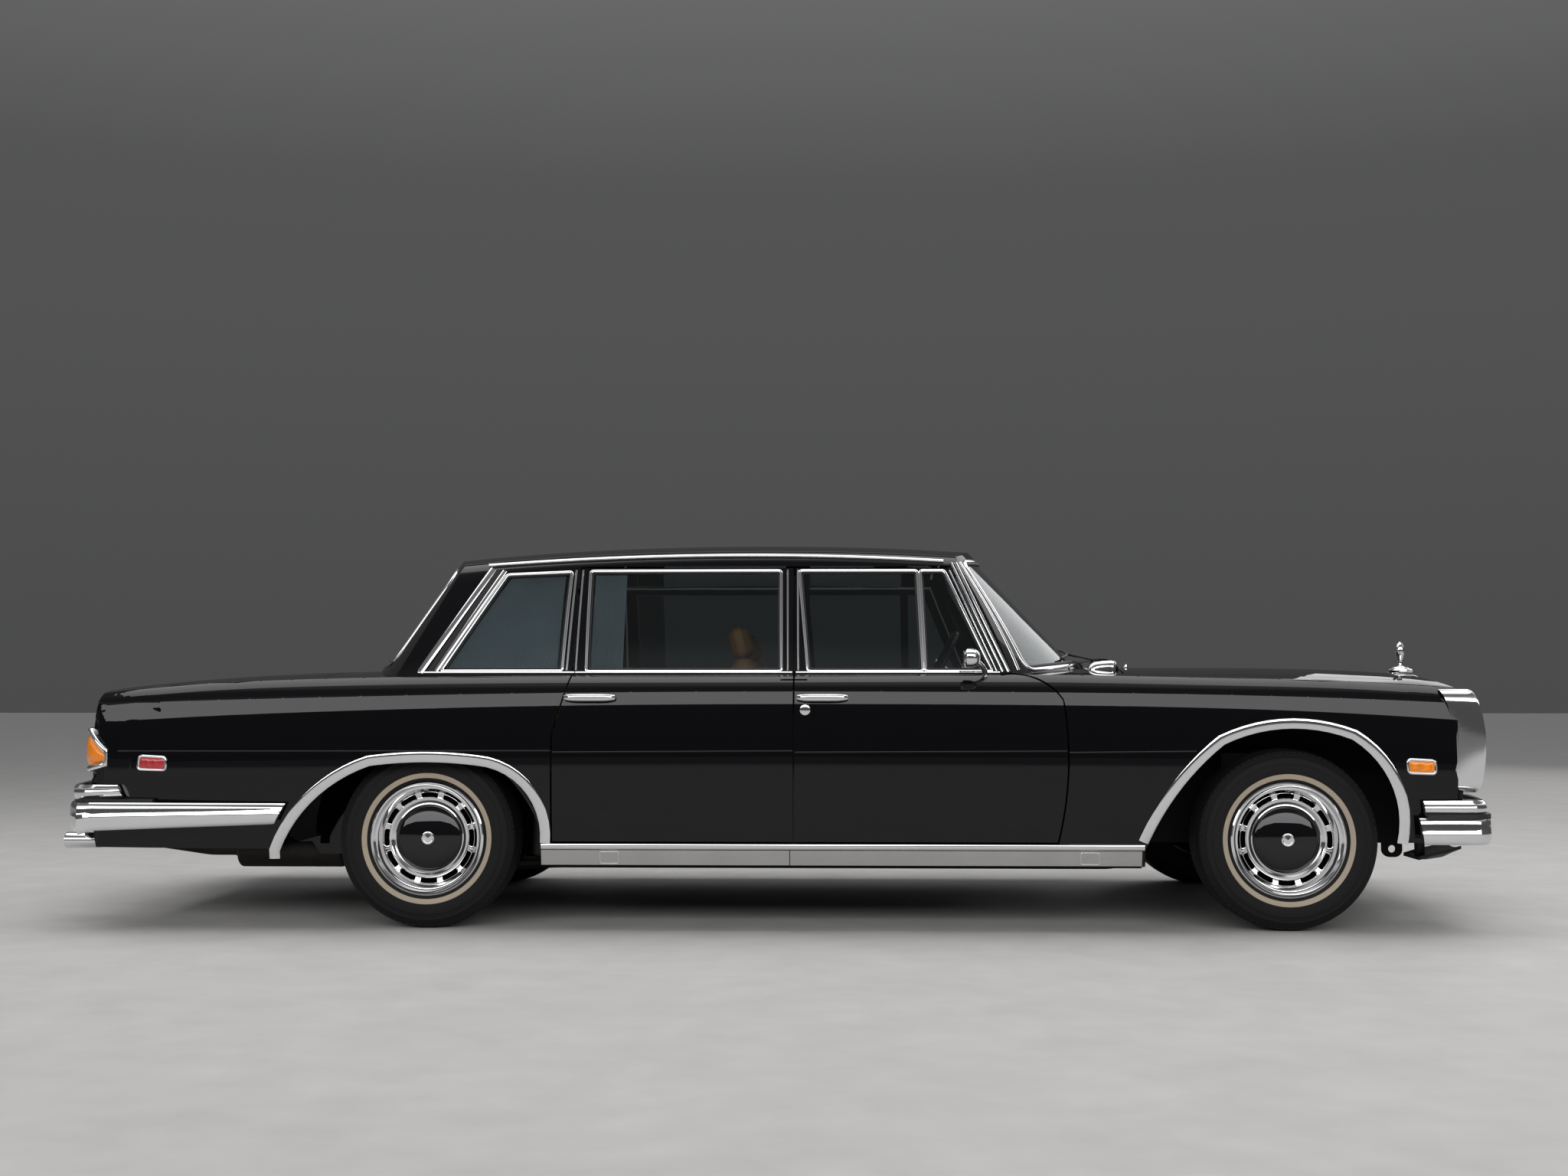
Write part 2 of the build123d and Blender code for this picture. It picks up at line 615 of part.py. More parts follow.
def make_exhaust():
    pipe = along(FilletPolyline((1480, -262, 560 - SEAT_GAP), (1480, -262, 192), (-900, -262, 192),
                                (-1240, -470, 192), (-1700, -500, 245), radius=[140, 200, 200]), PIPE_RADIUS)
    muffler = Pos(-1900, -500, 262) * Rot(0, 90, 0) * Cylinder(72, 420)
    muffler = fillet(muffler.edges(), 16)
    tail = along(FilletPolyline((-2090, -500, 262), (-2230, -500, 262), (-2400, TAILPIPE_Y, TAILPIPE_Z),
                                (REAR_END + 6, TAILPIPE_Y, TAILPIPE_Z), radius=[70, 70]), PIPE_RADIUS)
    return pipe + muffler + tail


HUB_FACE_Y = TRACK_HALF - 72


def make_rear_axle():
    """Axle tubes with the differential, trailing arms and the propeller shaft."""
    tube = Pos(REAR_AXLE_X, 0, TYRE_RADIUS) * Rot(90, 0, 0) * Cylinder(40, 2 * (HUB_FACE_Y - SEAT_GAP))
    case = Pos(REAR_AXLE_X, 0, TYRE_RADIUS) * Sphere(118)
    case &= solid_box(-1500, REAR_AXLE_X + 112 - SEAT_GAP, -105, 105, 200, 450)
    axle = tube + case
    for disc in both(Pos(REAR_AXLE_X, HUB_FACE_Y - 50, TYRE_RADIUS) * Rot(90, 0, 0) * Cylinder(120, 20)):
        axle += disc
    for arm in both(solid_box(REAR_AXLE_X, HEEL_X - FLOOR - SEAT_GAP, 380, 430, 300, 350)):
        axle += arm
    for bellows in both(Pos(REAR_AXLE_X, 405, 420) * Cylinder(60, 100)):
        axle += bellows
    return axle


def make_propshaft():
    rear = REAR_AXLE_X + 112
    front = 1170 - SEAT_GAP
    return Pos((front + rear) / 2, 0, 340) * Rot(0, 90, 0) * Cylinder(36, front - rear)


KNUCKLE_LOW = 236
KNUCKLE_HIGH = 434
KINGPIN_RADIUS = 24


def make_front_suspension():
    body = solid_box(1850, 1990, -391, 391, 232, 300)
    arm_end = KINGPIN_Y - KINGPIN_RADIUS - SEAT_GAP
    arm_plan = [(FRONT_AXLE_X - 30, arm_end), (FRONT_AXLE_X + 30, arm_end),
                (FRONT_AXLE_X + 110, 380), (FRONT_AXLE_X - 110, 380)]
    for z, wall in ((KNUCKLE_LOW + 4, 26), (KNUCKLE_HIGH - 30, 20)):
        arm = Pos(0, 0, z) * extrude(make_face(Polyline(*arm_plan, close=True)), amount=wall)
        for one in both(arm):
            body += one
    for tower in both(solid_box(1830, 2010, 370, 391.5, 232, 440)):
        body += tower
    return body


def make_knuckle(side):
    post = Pos(FRONT_AXLE_X, side * KINGPIN_Y, (KNUCKLE_LOW + KNUCKLE_HIGH) / 2)
    post = post * Cylinder(KINGPIN_RADIUS, KNUCKLE_HIGH - KNUCKLE_LOW)
    reach = HUB_FACE_Y - SEAT_GAP - KINGPIN_Y
    spindle = Pos(FRONT_AXLE_X, side * (KINGPIN_Y + reach / 2), TYRE_RADIUS) * Rot(90, 0, 0) * Cylinder(30, reach)
    arm = solid_box(FRONT_AXLE_X - 130, FRONT_AXLE_X, min(side * 682, side * 698), max(side * 682, side * 698),
                    KNUCKLE_LOW + 44, KNUCKLE_LOW + 62)
    return post + spindle + arm


def ring(points):
    """Profile given as (radius, distance outward from the wheel's middle), turned about the axle."""
    return revolve(make_face(Polyline(*points, close=True)), axis=Axis.Y)


BEAD_RADIUS = RIM_RADIUS + 0.5
BEAD_HALF = RIM_WIDTH / 2 - 4
BEAD_PLAY = 0.2

# Tyre section: radius, distance outward from the wheel's middle
TYRE_PROFILE = [
    (BEAD_RADIUS + SEAT_GAP, BEAD_PLAY - BEAD_HALF), (RIM_RADIUS + 14, -84), (RIM_RADIUS + 26, -94), (262, -109), (305, -104),
    (327, -86), (TYRE_RADIUS, -55), (TYRE_RADIUS, 55), (327, 86), (305, 104), (262, 109),
    (RIM_RADIUS + 34, 99), (RIM_RADIUS + 25, 90), (BEAD_RADIUS + SEAT_GAP, BEAD_HALF - BEAD_PLAY),
]


def wheel_place(axle_x, side):
    place = Pos(axle_x, side * TRACK_HALF, TYRE_RADIUS)
    return place if side > 0 else place * Rot(0, 0, 180)


def make_tyre(axle_x, side):
    return wheel_place(axle_x, side) * ring(TYRE_PROFILE)


def make_wheel(axle_x, side):
    """Rim barrel, dished disc with slots, trim ring and domed hub cap, facing +Y."""
    half = RIM_WIDTH / 2
    barrel = ring([
        (RIM_RADIUS, -half), (RIM_RADIUS + 12, -half - 6), (RIM_RADIUS + 12, -half - 2),
        (BEAD_RADIUS, -BEAD_HALF), (RIM_RADIUS - 22, -30), (RIM_RADIUS - 22, 30),
        (BEAD_RADIUS, BEAD_HALF), (RIM_RADIUS + 23, half + 8), (RIM_RADIUS + 22, half + 14),
        (RIM_RADIUS - 4, half + 6), (RIM_RADIUS - 14, half - 20), (RIM_RADIUS - 28, 34),
        (RIM_RADIUS - 28, -34), (RIM_RADIUS - 8, -half + 4),
    ])
    disc = ring([
        (0, 20), (0, 86), (60, 82), (104, 70), (124, 54), (128, 60), (150, 66), (156, 58),
        (RIM_RADIUS - 25, 40), (RIM_RADIUS - 25, 28), (150, 44), (120, 42), (70, 30), (60, 20),
    ])
    slot = Pos(161, 45, 0) * Box(17, 60, 60)
    for turn in PolarLocations(0, 12):
        disc -= Rot(90, 0, 0) * turn * Rot(-90, 0, 0) * slot
    hub = Pos(0, -24, 0) * Rot(90, 0, 0) * Cylinder(58, 96)
    return wheel_place(axle_x, side) * (barrel + disc + hub)


def rounded(shape, radius, axis=Axis.Z):
    return fillet(shape.edges().filter_by(axis), radius)


def make_front_seats():
    """Two front seats: cushion with its base, and a leaning back."""
    seats = []
    for side in (1, -1):
        base = solid_box(30, 480, side * 420 - 230, side * 420 + 230, FLOOR_Z + 2 + SEAT_GAP, 400)
        cushion = rounded(solid_box(0, 560, side * 420 - 265, side * 420 + 265, 390, 520), 60)
        back = Pos(-50, side * 420, 740) * Rot(0, -14, 0) * Box(140, 520, 560)
        back = fillet(back.edges().filter_by(Axis.Y), 40)
        seats.append(base + cushion + back)
    return seats


def make_rear_seat():
    cushion = rounded(solid_box(-950, -430, -640, 640, 300, 540), 50)
    base = solid_box(-940, -470, -600, 600, FLOOR_Z + 2 + SEAT_GAP, 340)
    back = Pos(-1010, 0, 690) * Rot(0, -16, 0) * Box(130, 1160, 520)
    back = fillet(back.edges().filter_by(Axis.Y), 40)
    seat = cushion + base + back
    house_front = REAR_AXLE_X + 468
    for cut in (solid_box(-1100, -400, -TUNNEL_HALF - 2, TUNNEL_HALF + 2, 200, TUNNEL_TOP + SEAT_GAP),
                solid_box(-1300, HEEL_X + SEAT_GAP, -700, 700, 200, AXLE_FLOOR_Z + SEAT_GAP),
                solid_box(-1400, BULKHEAD_X + SEAT_GAP, -800, 800, 300, 1200)):
        seat -= cut
    for cut in both(solid_box(-1400, house_front + 2, WHEELHOUSE_IN - 4, 800, 200, 1200)):
        seat -= cut
    return seat


DASH_HALF = 812


def make_dashboard():
    rear = FIREWALL_X - FIREWALL_LAP - SEAT_GAP
    edges = [
        Polyline((rear, 700), (rear, 914), (1040, 918)),
        ThreePointArc((1040, 918), (930, 912), (885, 868)),
        ThreePointArc((885, 868), (900, 800), (960, 700)),
        Line((960, 700), (rear, 700)),
    ]
    dash = Pos(0, DASH_HALF, 0) * extrude(Plane.XZ * make_face(edges), amount=2 * DASH_HALF)
    column = Pos(STEERING_CENTRE) * Rot(0, 90 + COLUMN_FALL, 0)
    column = column * Pos(0, 0, 44 + SEAT_GAP + 130) * Cylinder(34, 260)
    return dash + column


def make_steering_wheel():
    rim = Torus(STEERING_RADIUS, 13)
    hub = Pos(0, 0, 18) * Cylinder(38, 52)
    body = rim + hub
    for turn in (20, 160, 270):
        spoke = Rot(0, 0, turn) * Pos(STEERING_RADIUS / 2, 0, 8) * Box(STEERING_RADIUS - 8, 26, 10)
        body += spoke
    return Pos(STEERING_CENTRE) * Rot(0, 90 + COLUMN_FALL, 0) * body


def bumper_outline(side_x, side_y, corner, end_x, inset):
    """Plan line of a bumper, from one side round to the other. end_x is its foremost or rearmost point."""
    sign = 1 if end_x > 0 else -1
    y_side = side_y - inset
    corner_x, corner_y = corner[0] - sign * inset * 0.8, corner[1] - inset * 0.8
    flip = lambda point: (point[0], -point[1])
    start = (side_x, y_side)
    bend = (corner_x - sign * 60, y_side - 6)
    turn = (corner_x - sign * 14, corner_y + 34 - inset * 0.1)
    return [
        Line(start, bend),
        ThreePointArc(bend, turn, (corner_x + sign * 22, corner_y - 30)),
        ThreePointArc((corner_x + sign * 22, corner_y - 30), (end_x - sign * inset, 0),
                      flip((corner_x + sign * 22, corner_y - 30))),
        ThreePointArc(flip((corner_x + sign * 22, corner_y - 30)), flip(turn), flip(bend)),
        Line(flip(bend), flip(start)),
    ]


# Bumper blades: side end x, side y, corner (x, y), end x, lowest z, highest z, wall
FRONT_BLADES = [
    (2372, 984, (2634, 928), FRONT_END, 326, 424, 24),
    (2390, 976, (2622, 920), FRONT_END - 18, 428, 478, 20),
]
REAR_BLADES = [
    (-1790, 990, (-2632, 880), REAR_END, 364, 470, 24),
    (-2440, 942, (-2620, 872), REAR_END + 16, 474, 530, 20),
]
FRONT_BRACKET = (2480, 2738, 430, 490, 380, 460)
REAR_BRACKET = (-2740, -2480, 430, 490, 420, 510)


def make_blade(side_x, side_y, corner, end_x, low, high, wall):
    outside = bumper_outline(side_x, side_y, corner, end_x, 0)
    inside = bumper_outline(side_x, side_y, corner, end_x, wall)
    ends = [Line(outside[0] @ 0, inside[0] @ 0), Line(outside[-1] @ 1, inside[-1] @ 1)]
    face = make_face(outside + inside + ends)
    return Pos(0, 0, low) * extrude(face, amount=high - low)


def make_bumper(blades, bracket):
    body = make_blade(*blades[0])
    for row in blades[1:]:
        body += make_blade(*row)
    x0, x1, y0, y1, z0, z1 = bracket
    for one in both(solid_box(x0, x1, y0, y1, z0, z1)):
        body += one - outer
    return body - outer


# Headlamps: outline in (x, z) and the span in y
LAMP_LOW_Z = 512
LAMP_HIGH_Z = 893
LAMP_FRONT_X = 2652
LAMP_IN_Y = 690
LAMP_OUT_Y = 928
LAMP_RIM = 20


def lamp_block(inset, front_x, y0, y1):
    low = LAMP_LOW_Z + inset
    high = LAMP_HIGH_Z - inset
    edges = [
        Line((2480, low), (front_x - 34, low)),
        ThreePointArc((front_x - 34, low), (front_x, (low + high) / 2 + 20), (front_x - 52, high)),
        Polyline((front_x - 52, high), (2480, high), (2480, low)),
    ]
    block = Pos(0, y1, 0) * extrude(Plane.XZ * make_face(edges), amount=y1 - y0)
    return block


def make_headlamps():
    block = lamp_block(0, LAMP_FRONT_X, LAMP_IN_Y, LAMP_OUT_Y)
    pocket = lamp_block(LAMP_RIM, LAMP_FRONT_X + 60, LAMP_IN_Y + LAMP_RIM, LAMP_OUT_Y - LAMP_RIM)
    pocket &= solid_box(2596, 2800, 0, 1000, 0, 1000)
    bezel = block - pocket - outer - hood_clear()
    lens = lamp_block(LAMP_RIM + SEAT_GAP, LAMP_FRONT_X - 4, LAMP_IN_Y + LAMP_RIM + SEAT_GAP,
                      LAMP_OUT_Y - LAMP_RIM - SEAT_GAP)
    middle_y = (LAMP_IN_Y + LAMP_OUT_Y) / 2
    lens &= Pos(LAMP_FRONT_X - 4 - 220, middle_y, 700) * Cylinder(220, 600)
    lens &= solid_box(2596 + SEAT_GAP, 2800, 0, 1000, 0, 1000)
    return both(bezel), both(lens)


TAIL_LAMP = [(-2300, 742), (-2590, 731), (-2599, 659), (-2584, 606), (-2530, 592), (-2300, 592)]


def make_tail_lamps():
    block = prism(TAIL_LAMP, 700, 903)
    block &= Pos(0, 0, 500) * extrude(fillet(Rectangle(2 * 2599, 2 * 903).vertices(), 100), amount=400)
    lamps = block - outer
    return lamps & solid_box(-2700, -2480, -1000, 1000, 500, 800)


# Side markers: (x, z) corners
MARKERS = [
    [(-2372, 646), (-2254, 640), (-2254, 588), (-2366, 594)],
    [(2336, 640), (2448, 632), (2446, 578), (2338, 586)],
]


def make_side_markers():
    return [trim_layer & prism(points, 700, 1100) for points in MARKERS]


ARCH_LIP = 36
BEAD = (-842, 1381, 300, 323)
DRIP = 13


def make_body_trim():
    """Arch lips, sill beads and drip rails, as thin mouldings on the skin."""
    pieces = []
    for side in (1, -1):
        for outline in (rear_arch, front_arch):
            band = side_prism(outline(ARCH_LIP), 700, 1100, side) - side_prism(outline(0), 600, 1200, side)
            band -= solid_box(-3000, 3000, -1200, 1200, 0, SILL_TOP - PANEL_GAP + SEAT_GAP)
            pieces.append(trim_layer & band)
        x0, x1, z0, z1 = BEAD
        pieces.append(trim_layer & side_band(side, x0, x1, 700, z0, z1))
        drip = [
            ThreePointArc((-1092, 1364), (-300, 1399), (664, 1378)),
            Line((664, 1378), (664, 1378 + DRIP)),
            ThreePointArc((664, 1378 + DRIP), (-300, 1399 + DRIP), (-1092, 1364 + DRIP)),
            Line((-1092, 1364 + DRIP), (-1092, 1364)),
        ]
        pieces.append(cabin_trim_layer & side_prism(drip, 500, 1100, side))
    return pieces


def grille_outline(inset):
    """Radiator shell seen from the front: upright sides, rounded shoulders, low crown."""
    half = GRILLE_HALF - inset
    low = GRILLE_BOTTOM + inset
    shoulder = 868 - inset
    flip = lambda point: (-point[0], point[1])
    top = (half - 46, shoulder + 40)
    bend = (half - 12, shoulder + 28)
    return make_face([
        Line((-half, low), (half, low)),
        Line((half, low), (half, shoulder)),
        ThreePointArc((half, shoulder), bend, top),
        ThreePointArc(top, (0, GRILLE_TOP - 52 - inset), flip(top)),
        ThreePointArc(flip(top), flip(bend), (-half, shoulder)),
        Line((-half, shoulder), (-half, low)),
    ])


GRILLE_WALL = 34
ORNAMENT_X = 2622
ORNAMENT = [(0, 900), (30, 900), (48, 962), (51, 976), (40, 984), (12, 989), (8, 1001), (10, 1030),
            (19, 1048), (17, 1070), (8, 1086), (0, 1092)]


def make_grille():
    """Radiator shell with its slats and a plain finial."""
    plane = Plane(origin=(GRILLE_REAR_X, 0, 0), x_dir=(0, 1, 0), z_dir=(1, 0, 0))
    depth = GRILLE_FRONT_X - GRILLE_REAR_X
    grille = extrude(plane * grille_outline(0), amount=depth)
    grille -= extrude(plane * grille_outline(GRILLE_WALL), amount=depth + 5)
    low = GRILLE_BOTTOM + GRILLE_WALL
    step = (868 - low) / SLATS
    for index in range(SLATS):
        z = low + step * (index + 0.5)
        grille += solid_box(GRILLE_FRONT_X - 60, GRILLE_FRONT_X - 24, -GRILLE_HALF + 20, GRILLE_HALF - 20,
                            z - 4, z + 4)
    for y in (-180, -90, 0, 90, 180):
        grille += solid_box(GRILLE_FRONT_X - 56, GRILLE_FRONT_X - 20, y - 3, y + 3, GRILLE_BOTTOM + 10, 905)
    hood_body = solid_box(2300, 2800, -400, 400, GRILLE_SEAT_Z, 1200) & outer
    grille -= hood_body
    finial = Pos(ORNAMENT_X, 0, 0) * revolve(Plane.XZ * make_face(Polyline(*ORNAMENT, close=True)), axis=Axis.Z)
    return grille + finial


def windscreen_x(y, z):
    """Outer face of the windscreen at a height and a distance from the centreline."""
    (z0, front0, rise0), (z1, front1, rise1) = SCREENS[0][:3], SCREENS[1][:3]
    share = (z - z0) / (z1 - z0)
    front = front0 + (front1 - front0) * share
    rise = rise0 + (rise1 - rise0) * share
    arc = (SCREEN_Y ** 2 + rise ** 2) / (2 * rise)
    return front - (arc - sqrt(arc ** 2 - y ** 2))


# Wipers: pivot (x, y), then the blade's two ends (y, z)
WIPERS = [
    ((1296, -400), (-480, 1016), (60, 1058)),
    ((1296, 240), (150, 1056), (690, 1016)),
]
WIPER_LIFT = 9              # the blades' centre line lies this far ahead of the screen's frame
WIPER_RADIUS = 5


def make_wipers():
    wipers = []
    for (x, y), (left_y, left_z), (right_y, right_z) in WIPERS:
        rows = [(left_y, left_z), ((left_y + right_y) / 2, (left_z + right_z) / 2), (right_y, right_z)]
        left, middle, right = [(windscreen_x(row_y, z) + WIPER_LIFT, row_y, z) for row_y, z in rows]
        wiper = Pos(x, y, 1000) * Cylinder(13, 28)
        wiper += along(Line((x, y, 1007), middle), WIPER_RADIUS + 1)
        wiper += along(ThreePointArc(left, middle, right), WIPER_RADIUS)
        wipers.append(wiper - outer - vent)
    return wipers


# Pull handles on the doors: rear end and front end along x
HANDLES = {"front": (104, 296), "rear": (-759, -565)}
HANDLE_Z = 860


def make_handle(side, span):
    x0, x1 = span
    grip = solid_box(x0, x1, 977, 991, HANDLE_Z - 13, HANDLE_Z + 13)
    grip = fillet(grip.edges().filter_by(Axis.Y), 12)
    for x in (x0 + 16, x1 - 16):
        grip += solid_box(x - 11, x + 11, 900, 980, HANDLE_Z - 9, HANDLE_Z + 9) - outer
    return grip if side > 0 else mirror(grip, about=Plane.XZ)


def make_mirror(side):
    head = fillet(solid_box(716, 780, 945, 1052, 974, 1038).edges(), 20)
    stalk = along(Line((783, 905, 915), (752, 985, 1000)), 10) - outer
    base = Pos(783, 905, 930) * Cylinder(26, 60) - outer
    base &= solid_box(700, 850, 860, 940, 900, 956)
    whole = head + stalk + (base - cabin_outer)
    return whole if side > 0 else mirror(whole, about=Plane.XZ)


nodes = {}
nodes["floor_pan"] = make_floor_pan()
nodes["inner_fenders"] = make_inner_fenders()
nodes["cabin_frame"] = make_cabin_frame()
nodes["fixed_glass"] = make_fixed_glass()
nodes["cowl"] = make_cowl()
nodes["hood"] = make_hood()
nodes["trunk_lid"] = make_trunk_lid()
nodes["front_panel"] = make_front_panel()
nodes["tail_panel"] = make_tail_panel()
nodes["engine"] = make_engine()
nodes["exhaust"] = make_exhaust()
nodes["rear_axle"] = make_rear_axle()
nodes["propshaft"] = make_propshaft()
nodes["front_suspension"] = make_front_suspension()
nodes["front_seats"] = make_front_seats()
nodes["rear_seat"] = make_rear_seat()
nodes["dashboard"] = make_dashboard()
nodes["steering_wheel"] = make_steering_wheel()
nodes["front_bumper"] = make_bumper(FRONT_BLADES, FRONT_BRACKET)
nodes["rear_bumper"] = make_bumper(REAR_BLADES, REAR_BRACKET)
nodes["headlamp_bezels"], nodes["headlamp_lenses"] = make_headlamps()
nodes["tail_lamps"] = make_tail_lamps()
nodes["side_markers"] = make_side_markers()
nodes["body_trim"] = make_body_trim()
nodes["radiator_grille"] = make_grille()
nodes["wipers"] = make_wipers()
for name, side in (("left", 1), ("right", -1)):
    nodes["fender_" + name] = make_fender(side)
    nodes["quarter_" + name] = make_quarter(side)
    nodes["door_front_" + name] = make_door(side, front_door_outline, ("front", "vent"))
    nodes["door_rear_" + name] = make_door(side, rear_door_outline, ("rear",))
    nodes["handle_front_" + name] = [make_handle(side, HANDLES["front"]), make_mirror(side)]
    nodes["handle_rear_" + name] = make_handle(side, HANDLES["rear"])
    nodes["glass_front_" + name] = make_door_glass(side, ("front", "vent"))
    nodes["glass_rear_" + name] = make_door_glass(side, ("rear",))
    nodes["knuckle_" + name] = make_knuckle(side)
    for end, axle_x in (("front", FRONT_AXLE_X), ("rear", REAR_AXLE_X)):
        nodes["tyre_" + end + "_" + name] = make_tyre(axle_x, side)
        nodes["wheel_" + end + "_" + name] = make_wheel(axle_x, side)

for name, shape in nodes.items():
    pieces = shape if isinstance(shape, (list, tuple)) else [shape]
    solids = [solid for piece in pieces for solid in piece.solids()]
    whole = Compound(solids)
    print(name, len(solids), whole.is_valid, round(sum(solid.volume for solid in solids) / 1e6, 2))
    export_step(whole, "parts/" + name + ".step")
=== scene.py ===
import logging
import math
from dataclasses import dataclass
from enum import Enum
from typing import Callable

import bmesh
import bpy
import numpy as np
from mathutils import Matrix, Vector


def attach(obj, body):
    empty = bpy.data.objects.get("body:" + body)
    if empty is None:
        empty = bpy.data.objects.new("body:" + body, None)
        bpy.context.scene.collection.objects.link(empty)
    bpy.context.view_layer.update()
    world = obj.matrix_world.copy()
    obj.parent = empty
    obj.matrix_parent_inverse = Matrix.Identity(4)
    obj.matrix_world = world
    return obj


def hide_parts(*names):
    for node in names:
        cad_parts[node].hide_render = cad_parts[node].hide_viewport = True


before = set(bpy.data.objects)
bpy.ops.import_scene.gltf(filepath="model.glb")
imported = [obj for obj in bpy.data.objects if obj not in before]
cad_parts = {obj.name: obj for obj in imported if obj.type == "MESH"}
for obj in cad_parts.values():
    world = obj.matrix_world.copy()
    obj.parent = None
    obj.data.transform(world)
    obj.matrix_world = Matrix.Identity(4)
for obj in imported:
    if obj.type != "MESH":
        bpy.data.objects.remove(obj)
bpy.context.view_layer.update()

LOG = logging.getLogger("sedan")
SIDES = (("left", 1), ("right", -1))

Array = np.ndarray
Object = bpy.types.Object
Tree = bpy.types.NodeTree
Field = Callable[[Array], Array]
Pair = tuple[float, float]
Triple = tuple[float, float, float]
Points = list[tuple[float, ...]]
Shape = tuple[Array, list]


# Numbers of the car, in metres

WHEELBASE = 3.2
REAR_AXLE_X = -1.28
FRONT_AXLE_X = REAR_AXLE_X + WHEELBASE
TRACK_HALF = 0.793
TYRE_RADIUS = 0.335
SIDE_BOTTOM = 0.24
TUMBLE_IN = 0.043
WIDEST_Z = 0.66
TRIM = 0.007
SHOULDER_IN = 0.02
SHOULDER_BULGE = 0.006
EDGE_IN = 0.075
CABIN_FOOT = 0.93
CABIN_BULGE = 0.008
CORNER_IN = 0.024
CORNER_RISE = 0.027
SEAM_DEPTH = 0.008

# Lengths too short to divide by, and distances within which points are merged
TINY = 1e-9
WELD = 1e-5
MERGE = 2e-5
# Step of a slope, rounds of moving points onto a skin, and where those on the side start
STEP = 2e-4
SETTLE_ROUNDS = 3
PIN_ROUNDS = 8
SIDE_START = 0.9

# Sections of the lower body: x, half width, crease z, upper edge z, crown z
BODY = np.array([
    (-2.660, 0.885, 0.831, 0.866, 0.898),
    (-2.200, 0.935, 0.847, 0.911, 0.944),
    (-1.700, 0.962, 0.860, 0.931, 0.966),
    (-0.900, 0.974, 0.876, 0.943, 0.976),
    (0.100, 0.975, 0.883, 0.946, 0.981),
    (1.100, 0.975, 0.879, 0.945, 0.981),
    (1.700, 0.972, 0.870, 0.934, 0.981),
    (2.200, 0.958, 0.855, 0.920, 0.976),
    (2.660, 0.930, 0.834, 0.886, 0.946),
])
# Sections of the roof: x, crown z
ROOF = np.array([
    (-1.900, 1.352), (-1.240, 1.432), (-0.700, 1.472), (-0.076, 1.487), (0.434, 1.479), (0.900, 1.452),
    (1.500, 1.396),
])
BELT_HALF = 0.893
RAIL_HALF = 0.722
RAIL_DROP = 0.102
CROWN_HALF = 0.655
CROWN_DROP = 0.057
# Windscreen and rear window in plan: z, front x, front rise, rear x, rear rise over SCREEN_Y
SCREENS = np.array([(0.93, 1.308, 0.53, -1.658, 0.318), (1.5, 0.767, 0.295, -1.231, 0.295)])
SCREEN_Y = 1.0


# Surfaces of the car's skin

def unit(vectors: Array) -> Array:
    """Directions of vectors, each of length one."""
    return vectors / np.linalg.norm(vectors, axis=-1, keepdims=True)


def spline(table: Array, x: Array) -> Array:
    """Smooth curves through the rows of a table.

    Args:
        table: rows of x and then one column for each value.
        x: where the values are wanted.

    Returns:
        One row of values for each x.
    """
    knots, values = table[:, 0], table[:, 1:]
    step = np.diff(knots)
    count = len(knots)
    system = np.eye(count)
    right = np.zeros_like(values)
    for i in range(1, count - 1):
        system[i, i - 1:i + 2] = step[i - 1], 2 * (step[i - 1] + step[i]), step[i]
        right[i] = 6 * ((values[i + 1] - values[i]) / step[i] - (values[i] - values[i - 1]) / step[i - 1])
    bend = np.linalg.solve(system, right)
    i = np.clip(np.searchsorted(knots, x) - 1, 0, count - 2)
    h = step[i][:, None]
    a = (knots[i + 1] - x)[:, None] / h
    b = 1 - a
    return (a * values[i] + b * values[i + 1]
            + ((a ** 3 - a) * bend[i] + (b ** 3 - b) * bend[i + 1]) * h ** 2 / 6)


def circle(p: Array, q: Array, r: Array) -> tuple[Array, Array]:
    """Centres and radii of the circles through three rows of points in a plane."""
    a, b = q - p, r - p
    d = 2 * (a[..., 0] * b[..., 1] - a[..., 1] * b[..., 0])
    aa, bb = (a ** 2).sum(-1), (b ** 2).sum(-1)
    centre = np.stack([(b[..., 1] * aa - a[..., 1] * bb) / d, (a[..., 0] * bb - b[..., 0] * aa) / d], -1)
    return centre + p, np.sqrt((centre ** 2).sum(-1))


def arc_field(corners: Callable[[Array], list[Array]]) -> Field:
    """Distance field of a skin whose sections across the car are arcs.

    Args:
        corners: gives, for each x, the three (y, z) points that the section's arc passes.

    Returns:
        The distance field, positive outside.
    """
    def field(p: Array) -> Array:
        """Distance of each point from the arc of its own section."""
        centre, radius = circle(*corners(p[:, 0]))
        yz = np.stack([np.abs(p[:, 1]), p[:, 2]], -1)
        return np.sqrt(((yz - centre) ** 2).sum(-1)) - radius
    return field


def body_rows(x: Array) -> dict[str, Array]:
    """Named (y, z) points of the lower body's section at each x."""
    half, crease, edge, crown = spline(BODY, x).T
    low = np.stack([half - TUMBLE_IN, np.full_like(half, SIDE_BOTTOM)], -1)
    widest = np.stack([half, np.full_like(half, WIDEST_Z)], -1)
    shoulder = np.stack([half - SHOULDER_IN, crease], -1)
    top = np.stack([half - EDGE_IN, edge], -1)
    middle = np.stack([np.zeros_like(half), crown], -1)
    return {"low": low, "widest": widest, "shoulder": shoulder, "top": top, "middle": middle,
            "bulge": (shoulder + top) / 2 + SHOULDER_BULGE, "far": top * np.array([-1, 1])}


